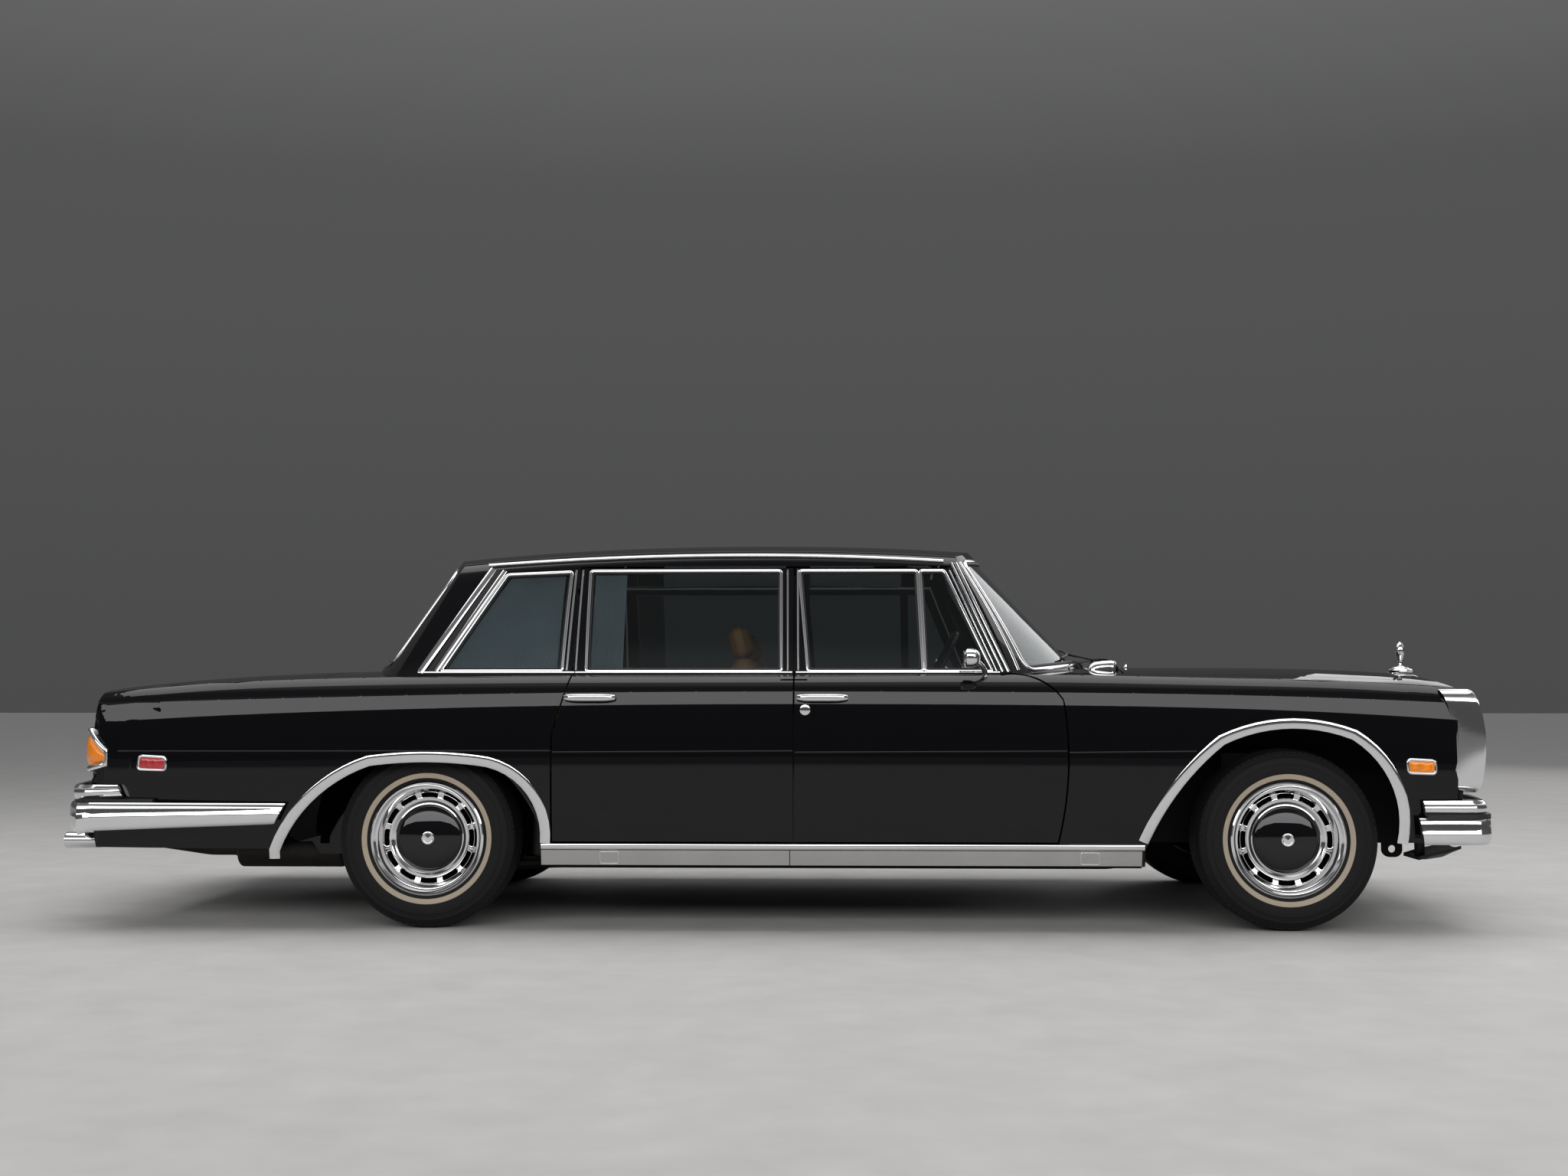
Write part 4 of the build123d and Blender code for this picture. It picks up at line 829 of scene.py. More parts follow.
def divided(points: Array, step: float, closed: bool = False) -> Array:
    """A path with more points on its long runs, none longer than step."""
    points = np.asarray(points, float)
    rows = []
    for i in range(len(points) if closed else len(points) - 1):
        a, b = points[i], points[(i + 1) % len(points)]
        count = max(1, math.ceil(np.linalg.norm(b - a) / step))
        rows += [a + (b - a) * k / count for k in range(count)]
    if not closed:
        rows.append(points[-1])
    return np.array(rows)


def rounded_loop(corners: Points, radius: float, count: int = 5) -> Array:
    """A closed outline whose corners are rounded."""
    corners = np.asarray(corners, float)
    share = np.linspace(0, 1, count)[:, None]
    rows = []
    for i, corner in enumerate(corners):
        back = corners[i - 1] - corner
        ahead = corners[(i + 1) % len(corners)] - corner
        a, b = (corner + way / np.linalg.norm(way) * radius for way in (back, ahead))
        rows.append(curve(a, corner, b, share))
    return np.concatenate(rows)


def rectangle(x0: float, x1: float, z0: float, z1: float) -> Points:
    """Corners of an upright rectangle, anticlockwise."""
    return [(x0, z0), (x1, z0), (x1, z1), (x0, z1)]


def bead(width: float, height: float, count: int = 9, sink: float = 0.0015) -> Array:
    """Half round section of a moulding, as (across, up) points."""
    angle = np.linspace(0, math.pi, count)
    top = np.stack([np.cos(angle) * width / 2, np.sin(angle) ** 0.8 * height], -1)
    return np.concatenate([top, [(-width / 2, -sink), (width / 2, -sink)]])


def lofted(loops: Array, closed: bool = True) -> Shape:
    """Points and faces of a shell through loops of points.

    Args:
        loops: the points, as (loops, points in each, 3).
        closed: whether the last loop joins the first; otherwise both ends are capped.

    Returns:
        Points and faces of a closed shell.
    """
    loops = np.asarray(loops)
    count, size = loops.shape[:2]
    ring = [(k, (k + 1) % size) for k in range(size)]
    faces = [(i * size + k, i * size + m, (i + 1) % count * size + m, (i + 1) % count * size + k)
             for i in range(count if closed else count - 1) for k, m in ring]
    if not closed:
        faces += [tuple(range(size)), tuple(reversed(range((count - 1) * size, count * size)))]
    return loops.reshape(-1, 3), faces


def swept(points: Array, up: Array | Triple, section: Array | Points, closed: bool = False) -> Shape:
    """Carries a closed section along a path, with its corners mitred.

    Args:
        points: the path.
        up: the section's upward direction at each point, or one for all.
        section: (across, up) points, one list for all or one for each point.
        closed: whether the path is a loop.

    Returns:
        Points and faces of a closed shell.
    """
    points = np.asarray(points, float)
    up = np.broadcast_to(np.asarray(up, float), points.shape)
    section = np.broadcast_to(np.asarray(section, float), (len(points), *np.shape(section)[-2:]))
    ahead = np.roll(points, -1, axis=0) - points
    behind = points - np.roll(points, 1, axis=0)
    if not closed:
        ahead[-1], behind[0] = behind[-1], ahead[0]
    ahead, behind = unit(ahead), unit(behind)
    along = unit(ahead + behind)
    mitre = 1 / np.clip((along * ahead).sum(1), 0.5, 1)
    across = unit(np.cross(along, up))
    lift = np.cross(across, along)
    rows = (points[:, None] + across[:, None] * section[..., :1] * mitre[:, None, None]
            + lift[:, None] * section[..., 1:])
    return lofted(rows, closed)


def turned(profile: Points, count: int) -> Shape:
    """Turns a closed (radius, outward) profile about a wheel's axle, in the wheel's own frame."""
    radius, out = np.asarray(profile, float).T
    angle = np.arange(count)[:, None] * math.tau / count
    return lofted(np.stack([np.cos(angle) * radius, np.broadcast_to(out, (count, len(out))),
                            np.sin(angle) * radius], -1))


class Facing(Enum):
    """Where a turned shape's outward end looks: the order of its own axes, and their signs."""
    FRONT = ((1, 0, 2), (1, 1, 1))
    REAR = ((1, 0, 2), (-1, 1, 1))
    RIGHT = ((0, 1, 2), (1, -1, 1))
    UP = ((0, 2, 1), (1, 1, 1))


def turned_at(profile: Points, count: int, centre: Triple, facing: Facing) -> Shape:
    """A turned shape that looks one way from its place."""
    points, faces = turned(profile, count)
    order, signs = facing.value
    return points[:, order] * signs + centre, faces


def block(low: Triple, high: Triple, radius: float = 0.004, segments: int = 2) -> Shape:
    """Points and faces of a box with rounded edges."""
    mesh = bmesh.new()
    bmesh.ops.create_cube(mesh, size=1.0)
    low, high = np.array(low, float), np.array(high, float)
    for v in mesh.verts:
        v.co = Vector((low + high) / 2 + np.array(v.co) * (high - low))
    bmesh.ops.bevel(mesh, geom=mesh.edges[:], offset=min(radius, 0.45 * float((high - low).min())),
                    segments=segments, profile=0.5, affect="EDGES")
    return shape_of(mesh)


def merged(*shapes: Shape) -> Shape:
    """Several shapes as one."""
    points, faces, total = [], [], 0
    for some, rows in shapes:
        points.append(np.asarray(some, float))
        faces += [tuple(int(k) + total for k in row) for row in rows]
        total += len(some)
    return np.concatenate(points), faces


def grid(rows: Array) -> list:
    """Faces between the rows of a grid of points, given as (rows, columns, 3)."""
    count, width = rows.shape[:2]
    return [(i * width + k, i * width + k + 1, (i + 1) * width + k + 1, (i + 1) * width + k)
            for i in range(count - 1) for k in range(width - 1)]


def rim_of(rows: Array) -> Array:
    """The outer points of a grid, as one loop."""
    return np.concatenate([rows[0], rows[1:-1, -1], rows[-1][::-1], rows[-2:0:-1, 0]])


def plate(rows: Array, away: Array | Triple) -> Shape:
    """A grid of points given a thickness: a closed shell between it and its copy moved by away."""
    top = rows.reshape(-1, 3)
    size = len(top)
    faces = grid(rows) + [tuple(size + k for k in reversed(face)) for face in grid(rows)]
    rim = rim_of(np.arange(size).reshape(rows.shape[:2])).tolist()
    faces += [(b, a, size + a, size + b) for a, b in zip(rim, rim[1:] + rim[:1])]
    return np.concatenate([top, top + away]), faces


def pinned(name: str, points: Array, axis: int, lift: float = 0.0) -> tuple[Array, Array]:
    """Points moved along one axis until they lie lift above a named surface, and the normals there."""
    field = FIELDS[name]
    placed = np.array(points, float)
    for _ in range(PIN_ROUNDS):
        ahead = placed.copy()
        ahead[:, axis] += STEP
        value = field(placed)
        slope = (field(ahead) - value) / STEP
        placed[:, axis] -= (value - lift) / slope
    return placed, outward(field, placed)[0]


def side_path(surface: str, path: Array, lift: float = 0.0) -> tuple[Array, Array]:
    """An (x, z) path put on the car's right side, and the normals there."""
    path = np.asarray(path, float)
    start = np.stack([path[:, 0], np.full(len(path), -SIDE_START), path[:, 1]], -1)
    return pinned(surface, start, 1, lift)


@dataclass
class Moulding:
    """A strip that follows the car's side, one on each side.

    Attributes:
        name: the piece's name without its side.
        body: the body that it rides on, without its side where that has one.
        path: (x, z) points.
        width: across the strip.
        height: how far it stands out.
        surface: the skin that carries it.
        finish: its finish.
        closed: whether the path is a loop.
        step: longest run between two points.
        lift: how far above the skin it lies.
    """
    name: str
    body: str
    path: Array | Points
    width: float
    height: float
    surface: str = "side"
    finish: str = "chrome_plate"
    closed: bool = False
    step: float = 0.05
    lift: float = 0.0

    def build(self) -> None:
        """Makes both strips."""
        points, up = side_path(self.surface, divided(self.path, self.step, self.closed), self.lift)
        sided(self.name, swept(points, up, bead(self.width, self.height), self.closed), self.finish, self.body)


# Painted panels and glass

DOOR_CURVE = joined(arc((1.063, 0.33), (1.099, 0.59), (1.086, 0.85), 24),
                    arc((1.086, 0.85), (1.029, 0.908), (0.866, 0.942), 12))


def shifted(path: Array, off: float) -> Array:
    """An (x, z) path moved off to its left by a distance."""
    along = unit(np.gradient(path, axis=0))
    return path + off * np.stack([-along[:, 1], along[:, 0]], -1)


@dataclass
class Bodywork:
    """The painted panels and the glass."""
    body_panels: tuple[str, ...] = ("cabin_frame", "cowl", "front_panel", "tail_panel", "fender_left",
                                    "fender_right", "quarter_left", "quarter_right")
    fender_rear: float = 1.1068
    edge_low: float = 0.325
    edge_high: float = 0.8795
    edge_wall: float = 0.004
    door_gap: float = 0.0065

    def panel(self, node: str, body: str) -> None:
        """Replaces one panel by a smooth copy."""
        facets = facets_of(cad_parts[node])
        dressed(skin_object(node + "_skin", *facets), "black_paint", body, (node,))

    def fender_edges(self) -> None:
        """The fenders' rear edges, which follow the curve of the front doors' edges."""
        heights = np.linspace(self.edge_low, self.edge_high, 26)
        edge = shifted(DOOR_CURVE, -self.door_gap)
        rear = np.interp(heights, edge[:, 1], edge[:, 0])
        rows = [side_path("side", np.stack([np.linspace(x, self.fender_rear, 5), np.full(5, z)], -1))[0]
                for x, z in zip(rear, heights)]
        shape = plate(np.array(rows), (0, self.edge_wall, 0))
        for label, side in SIDES:
            made = closed_mesh("fender_edge_" + label, *mirrored(shape, -side))
            facets = facets_of(made)
            bpy.data.objects.remove(made)
            dressed(skin_object("fender_edge_" + label, *facets), "black_paint")

    def build(self) -> None:
        """Makes all panels."""
        for node in self.body_panels:
            self.panel(node, "body")
        for node in ("hood", "trunk_lid"):
            self.panel(node, node)
        for end in ("front", "rear"):
            for label, _ in SIDES:
                self.panel(f"door_{end}_{label}", f"door_{end}_{label}")
                keep(f"glass_{end}_{label}", "tinted_glass")
        self.fender_edges()
        keep("fixed_glass", "tinted_glass")


# Outlines of the wheel arches and the side windows in (x, z)

REAR_ARCH = joined(
    [(-1.824, 0.262), (-1.824, 0.29)], arc((-1.824, 0.29), (-1.69, 0.482), (-1.48, 0.608)),
    arc((-1.48, 0.608), (-1.28, 0.622), (-1.08, 0.610)), arc((-1.08, 0.610), (-0.905, 0.52), (-0.846, 0.325)))
FRONT_ARCH = joined(
    [(1.393, 0.325)], arc((1.385, 0.305), (1.50, 0.512), (1.672, 0.69))[1:],
    arc((1.672, 0.69), (1.915, 0.748), (2.14, 0.708)), arc((2.14, 0.708), (2.262, 0.58), (2.304, 0.33)))
WINDOWS = {
    "front": ("door_front", [(0.151, 0.964), (0.569, 0.964), (0.557, 1.34), (0.118, 1.34)]),
    "vent": ("door_front", [(0.591, 0.964), (0.826, 0.964), (0.662, 1.34), (0.579, 1.34)]),
    "rear": ("door_rear", [(-0.682, 0.964), (0.04, 0.964), (0.036, 1.34), (-0.686, 1.34)]),
    "quarter": ("body", [(-1.226, 0.966), (-0.784, 0.966), (-0.77, 1.337), (-1.013, 1.327)]),
}
# Strips on the doors' frames and the roof pillars: name, body, lower and upper end, width and height, and the
# finish where it isn't chrome
PILLAR_STRIPS = (
    ("door_frame_strip_0", "door_rear", (-0.7265, 0.962), (-0.7215, 1.349), 0.0085, 0.005),
    ("door_frame_strip_1", "door_rear", (0.0705, 0.962), (0.0665, 1.349), 0.0075, 0.004),
    ("door_frame_strip_2", "door_front", (0.109, 0.962), (0.1055, 1.349), 0.0085, 0.005),
    ("door_frame_strip_3", "door_front", (0.8505, 0.960), (0.6855, 1.347), 0.007, 0.004),
    ("pillar_strip_0", "body", (0.873, 0.957), (0.6935, 1.377), 0.011, 0.005),
    ("pillar_strip_1", "body", (0.895, 0.957), (0.7105, 1.377), 0.0125, 0.005),
    ("roof_pillar_strip_0", "body", (-1.314, 0.955), (-1.072, 1.356), 0.027, 0.006),
    ("roof_pillar_vent", "body", (-1.279, 0.960), (-1.0475, 1.350), 0.020, 0.0022, "vent_mesh"),
    ("roof_pillar_strip_1", "body", (-1.2545, 0.960), (-1.0275, 1.348), 0.019, 0.005),
    ("quarter_front_strip", "body", (-0.7605, 0.962), (-0.7475, 1.349), 0.009, 0.004),
)


@dataclass
class SideTrim:
    """Bright mouldings along the car's sides."""
    lip: float = 0.038
    sill_low: float = 0.243
    sill_high: float = 0.298
    sill_ends: Pair = (-0.842, 1.381)
    sill_panels: tuple[Pair, ...] = ((-0.842, 0.0775), (0.0805, 1.372))
    jack_covers: tuple[Pair, ...] = ((-0.623, -0.555), (1.149, 1.216))
    cover_margin: float = 0.006
    belt_z: float = 0.9545
    belt_spans: tuple = (("quarter", "body", -1.322, -0.731), ("rear", "door_rear", -0.728, 0.087),
                         ("front", "door_front", 0.101, 0.862))
    crease_rise: float = 0.005
    crease_spans: tuple = (("quarter", "body", -2.45, -0.807), ("rear", "door_rear", -0.799, 0.090),
                           ("front", "door_front", 0.0985, 1.097), ("fender", "body", 1.106, 1.57))
    screen_pillar: tuple[Pair, Pair] = ((0.849, 0.963), (0.684, 1.381))

    def lips(self) -> None:
        """Broad rolled lips of the wheel arches."""
        half = self.lip / 2
        section = np.array([(half, 0.0), (half, 0.0055), (half - 0.003, 0.0065), (half - 0.012, 0.0068),
                            (half - 0.024, 0.005), (0.004 - half, 0.0032), (-half, 0.0005), (-half, -0.001),
                            (half, -0.001)])
        for name, outline in (("arch_lip_rear", REAR_ARCH), ("arch_lip_front", FRONT_ARCH)):
            points, up = side_path("side", shifted(divided(outline, 0.03), half))
            sided(name, swept(points, up, section * (-1, 1)), "chrome_plate")

    def sills(self) -> None:
        """Round sill bead and the brushed panel under it, with its jacking covers."""
        Moulding("sill_bead", "body", [(x, 0.312) for x in self.sill_ends], 0.024, TRIM).build()
        shapes = []
        for x0, x1 in self.sill_panels:
            xs, zs = np.linspace(x0, x1, 28), np.linspace(self.sill_low, self.sill_high, 6)
            outer_face, _ = side_path("side", [(x, z) for z in zs for x in xs], 0.003)
            shapes.append(plate(outer_face.reshape(len(zs), len(xs), 3), (0, 0.0028, 0)))
        sided("sill_panel", merged(*shapes), "brushed_sill")
        covers = []
        for x0, x1 in self.jack_covers:
            corners = rectangle(x0, x1, self.sill_low + self.cover_margin, self.sill_high - self.cover_margin)
            points, up = side_path("side", divided(rounded_loop(corners, 0.006), 0.03, True), 0.0028)
            covers.append(swept(points, up, bead(0.0028, 0.0012), True))
        sided("jack_covers", merged(*covers), "chrome_plate")

    def lines(self) -> None:
        """Belt strips, the drip rail, and the fine raised line along the widest part of each panel."""
        for name, body, *ends in self.belt_spans:
            path = [(x, self.belt_z) for x in ends]
            Moulding("belt_strip_" + name, body, path, 0.0085, 0.005, "cabin").build()
        drip = arc((-1.092, 1.3705), (-0.3, 1.4055), (0.664, 1.3845), 30)
        Moulding("drip_rail", "body", drip, 0.012, TRIM, "cabin").build()
        for name, body, x0, x1 in self.crease_spans:
            path = [(x0, WIDEST_Z), (x1, WIDEST_Z + self.crease_rise)]
            Moulding("crease_" + name, body, path, 0.006, 0.0016, finish="black_paint").build()

    def windows(self) -> None:
        """Bright bead and black gasket round each side window."""
        for name, (body, corners) in WINDOWS.items():
            wide = rounded_loop(grown(corners, 0.006), 0.012)
            Moulding("window_bead_" + name, body, wide, 0.0125, 0.005, "cabin", closed=True).build()
            inner = rounded_loop(grown(corners, -0.003), 0.01)
            Moulding("window_gasket_" + name, body, inner, 0.007, 0.005, "cabin", "seal_rubber", True,
                     lift=-0.009).build()

    def pillars(self) -> None:
        """Bright strips on the doors' frames and all pillars, with the vent of the rear pillar."""
        for name, body, low, high, width, height, *finish in PILLAR_STRIPS:
            Moulding(name, body, [low, high], width, height, "cabin", *finish).build()
        path = divided([(-y, z) for y, z in self.screen_pillar], 0.05)
        start = np.stack([np.full(len(path), SCREENS[0, 1]), *path.T], -1)
        points, up = pinned("windscreen", start, 0)
        sided("pillar_strip_2", swept(points, up, bead(0.014, 0.005)), "chrome_plate")

    def build(self) -> None:
        """Makes all side trim."""
        self.lips()
        self.sills()
        self.lines()
        self.windows()
        self.pillars()


def grown(corners: Points, off: float) -> Array:
    """A convex outline given anticlockwise, moved outwards by a distance."""
    corners = np.asarray(corners, float)
    back = unit(corners - np.roll(corners, 1, axis=0))
    ahead = unit(np.roll(corners, -1, axis=0) - corners)
    both = back + ahead
    out = np.stack([both[:, 1], -both[:, 0]], -1)
    return corners + off * out / (1 + (back * ahead).sum(1, keepdims=True))


def eased(loop: Array, corners: Points, radius: float, count: int = 9) -> Array:
    """A closed loop with each of its corners replaced by a smooth curve.

    Args:
        loop: points of the loop, closer together than radius.
        corners: the corners to round.
        radius: how far from a corner its curve begins.
        count: points of each curve.

    Returns:
        The rounded loop.
    """
    share = np.linspace(0, 1, count)[1:-1, None]
    for corner in np.asarray(corners):
        near = np.linalg.norm(loop - corner, axis=1) < radius
        first = int(np.argmax(near & ~np.roll(near, 1)))
        loop = np.roll(loop, -first, axis=0)[near.sum():]
        loop = np.concatenate([loop, curve(loop[-1], corner, loop[0], share)])
    return loop


@dataclass
class ScreenTrim:
    """Bright surround and seal of the windscreen or the rear window.

    Attributes:
        name: the screen's name.
        surface: the skin that carries it.
        corner: how far from a corner its rounding begins.
        low_half: half width of the lower edge.
        low_z: height of its corners.
        low_mid: height of its middle.
        top_half: half width of the upper edge.
        top_z: height of its corners.
        top_mid: height of its middle.
        start: an x near the screen, from which points are moved onto it.
    """
    name: str
    surface: str
    corner: float
    low_half: float
    low_z: float
    low_mid: float
    top_half: float
    top_z: float
    top_mid: float
    start: float

    def outline(self, grow: float) -> Array:
        """Loop of (y, z) points round the opening, moved out by a distance."""
        low_half, low_z, low_mid = self.low_half + grow, self.low_z - grow, self.low_mid - grow
        top_half, top_z, top_mid = self.top_half + grow, self.top_z + grow, self.top_mid + grow
        low = arc((-low_half, low_z), (0, low_mid), (low_half, low_z), 24)
        top = arc((top_half, top_z), (0, top_mid), (-top_half, top_z), 24)
        loop = divided(joined(low, top), 0.03, True)
        return eased(loop, [low[0], low[-1], top[0], top[-1]], self.corner)

    def build(self) -> None:
        """Makes the surround and the seal."""
        for part, grow, section, finish, lift in (("surround", 0.004, bead(0.018, 0.006), "chrome_plate", 0.0),
                                                  ("seal", -0.007, bead(0.014, 0.006), "seal_rubber", -0.008)):
            loop = self.outline(grow)
            points, up = pinned(self.surface, np.stack([np.full(len(loop), self.start), *loop.T], -1), 0, lift)
            piece(f"{self.name}_{part}", swept(points, up, section, True), finish)


# Bumpers

def bumper_path(side_x: float, side_y: float, corner: Pair, end_x: float) -> Array:
    """Plan line of a bumper's outer face, from its left end round to its right end."""
    sign = math.copysign(1, end_x)
    corner_x, corner_y = corner
    bend = (corner_x - sign * 0.06, side_y - 0.006)
    turn = (corner_x - sign * 0.014, corner_y + 0.034)
    nose = (corner_x + sign * 0.022, corner_y - 0.03)
    end = joined(divided([(side_x, side_y), bend], 0.06), arc(bend, turn, nose, 9))
    return joined(end, arc(nose, (end_x, 0), (nose[0], -nose[1]), 40), end[::-1] * (1, -1))


def at_height(path: Array, z: float) -> Array:
    """A plan line lifted to a height."""
    return np.stack([*path.T, np.full(len(path), z)], -1)


@dataclass
class Blade:
    """One rounded blade of a bumper.

    Attributes:
        name: the piece's name.
        plan: side end x, side y, corner and end x of its outer face.
        low: height of its lower edge.
        high: height of its upper edge.
        low_end: height of the lower edge at the blade's side ends.
        crease: share of the height where its two faces meet.
        slant: how much further back its side ends reach at their lower edge.
        replaces: the node that it stands for.
        wall: how deep its rolled edges reach.
    """
    name: str
    plan: tuple
    low: float
    high: float
    low_end: float
    crease: float = 0.5
    slant: float = 0.0
    replaces: str = ""
    wall: float = 0.022

    def section(self, low: float) -> Array:
        """Outer face in two gently rounded bands, with rolled edges, hanging from the upper edge."""
        half = (self.high - low) / 2
        crease = 2 * half * (self.crease - 0.5)
        face = [(-half + 0.004, -0.018), (-half, -0.012), (-half + 0.004, -0.006), (-half + 0.014, -0.003),
                ((crease - half) / 2, -0.0008), (crease - 0.004, -0.0006), (crease, -0.0002),
                (crease + 0.003, -0.0018), ((crease + half) / 2, -0.001), (half - 0.012, -0.0035),
                (half - 0.004, -0.0075), (half, -0.013), (half - 0.003, -self.wall), (-half + 0.006, -self.wall)]
        return np.array(face) - (half, 0)

    def build(self) -> None:
        """Makes the blade."""
        path = bumper_path(*self.plan)
        side_x, _, (corner_x, _), end_x = self.plan
        sign = math.copysign(1, end_x)
        along = unit(np.gradient(path, axis=0))
        out = at_height(np.stack([-along[:, 1], along[:, 0]], -1) * sign, 0.0)
        share = np.clip((corner_x - path[:, 0]) / (corner_x - side_x), 0, 1)
        sections = np.array([self.section(self.low + (self.low_end - self.low) * s) for s in share]) * (sign, 1)
        rows, faces = swept(at_height(path, self.high), out, sections)
        width = sections.shape[1]
        for end in (rows[:width], rows[-width:]):
            end[:, 0] += sign * self.slant * (self.high - end[:, 2]) / (self.high - self.low_end)
        piece(self.name, (rows, faces), "chrome_plate", smooth=50, replaces=self.replaces)


@dataclass
class Bumpers:
    """Two-tier bumpers at both ends, with what joins their blades and the scoops under the front one."""
    blades: tuple[Blade, ...] = (
        Blade("front_bumper_main", (2.372, 0.984, (2.634, 0.928), 2.77), 0.326, 0.424, 0.326, 0.42, 0.016,
              "front_bumper"),
        Blade("front_bumper_upper", (2.390, 0.976, (2.622, 0.92), 2.752), 0.428, 0.486, 0.430, 0.55, 0.006),
        Blade("rear_bumper_main", (-1.79, 0.990, (-2.632, 0.88), -2.77), 0.362, 0.470, 0.394, 0.52, 0.040,
              "rear_bumper"),
        Blade("rear_bumper_upper", (-2.44, 0.942, (-2.62, 0.872), -2.754), 0.474, 0.534, 0.486, 0.55, -0.026),
    )
    # Name, plan and middle height of the strips between the blades
    fillers: tuple = (("front_bumper_filler", (2.40, 0.962, (2.62, 0.905), 2.742), 0.427),
                      ("rear_bumper_filler", (-2.3, 0.935, (-2.61, 0.86), -2.745), 0.473))
    filler_half: float = 0.009
    bracket_spans: tuple = ((2.545, 2.738, 0.38, 0.46), (-2.738, -2.55, 0.42, 0.51))
    bracket_y: float = 0.46
    bracket_half: float = 0.03
    scoop_y: float = 0.62
    scoop_half: float = 0.09
    # Rows of a scoop: x, z, and how far its middle lies from its edges
    scoop_rows: tuple = ((2.452, 0.247, 0.0), (2.50, 0.262, -0.02), (2.56, 0.275, -0.024), (2.612, 0.290, -0.012))

    def build(self) -> None:
        """Makes all blades and what fills the space between them."""
        for blade in self.blades:
            blade.build()
        half = self.filler_half
        for name, plan, z in self.fillers:
            section = [(0.01, half), (-0.02, half), (-0.02, -half), (0.01, -half)]
            piece(name, swept(at_height(bumper_path(*plan), z), (0, 0, 1), section), "seal_rubber")
        brackets, scoops = [], []
        for side in (1, -1):
            y = side * self.bracket_y
            brackets += [block((x0, y - self.bracket_half, z0), (x1, y + self.bracket_half, z1), 0.006)
                         for x0, x1, z0, z1 in self.bracket_spans]
            y = side * self.scoop_y
            rows = np.array([[(x, y + s * self.scoop_half, z + lift * (1 - s ** 2))
                              for x, z, lift in self.scoop_rows] for s in np.linspace(-1, 1, 9)])
            scoops += [plate(rows, (0, 0, 0.012)), block((2.47, y - 0.02, 0.25), (2.50, y + 0.02, 0.335))]
        piece("bumper_brackets", merged(*brackets), "chassis_black")
        piece("air_scoops", merged(*scoops), "seal_rubber")


# Lamps

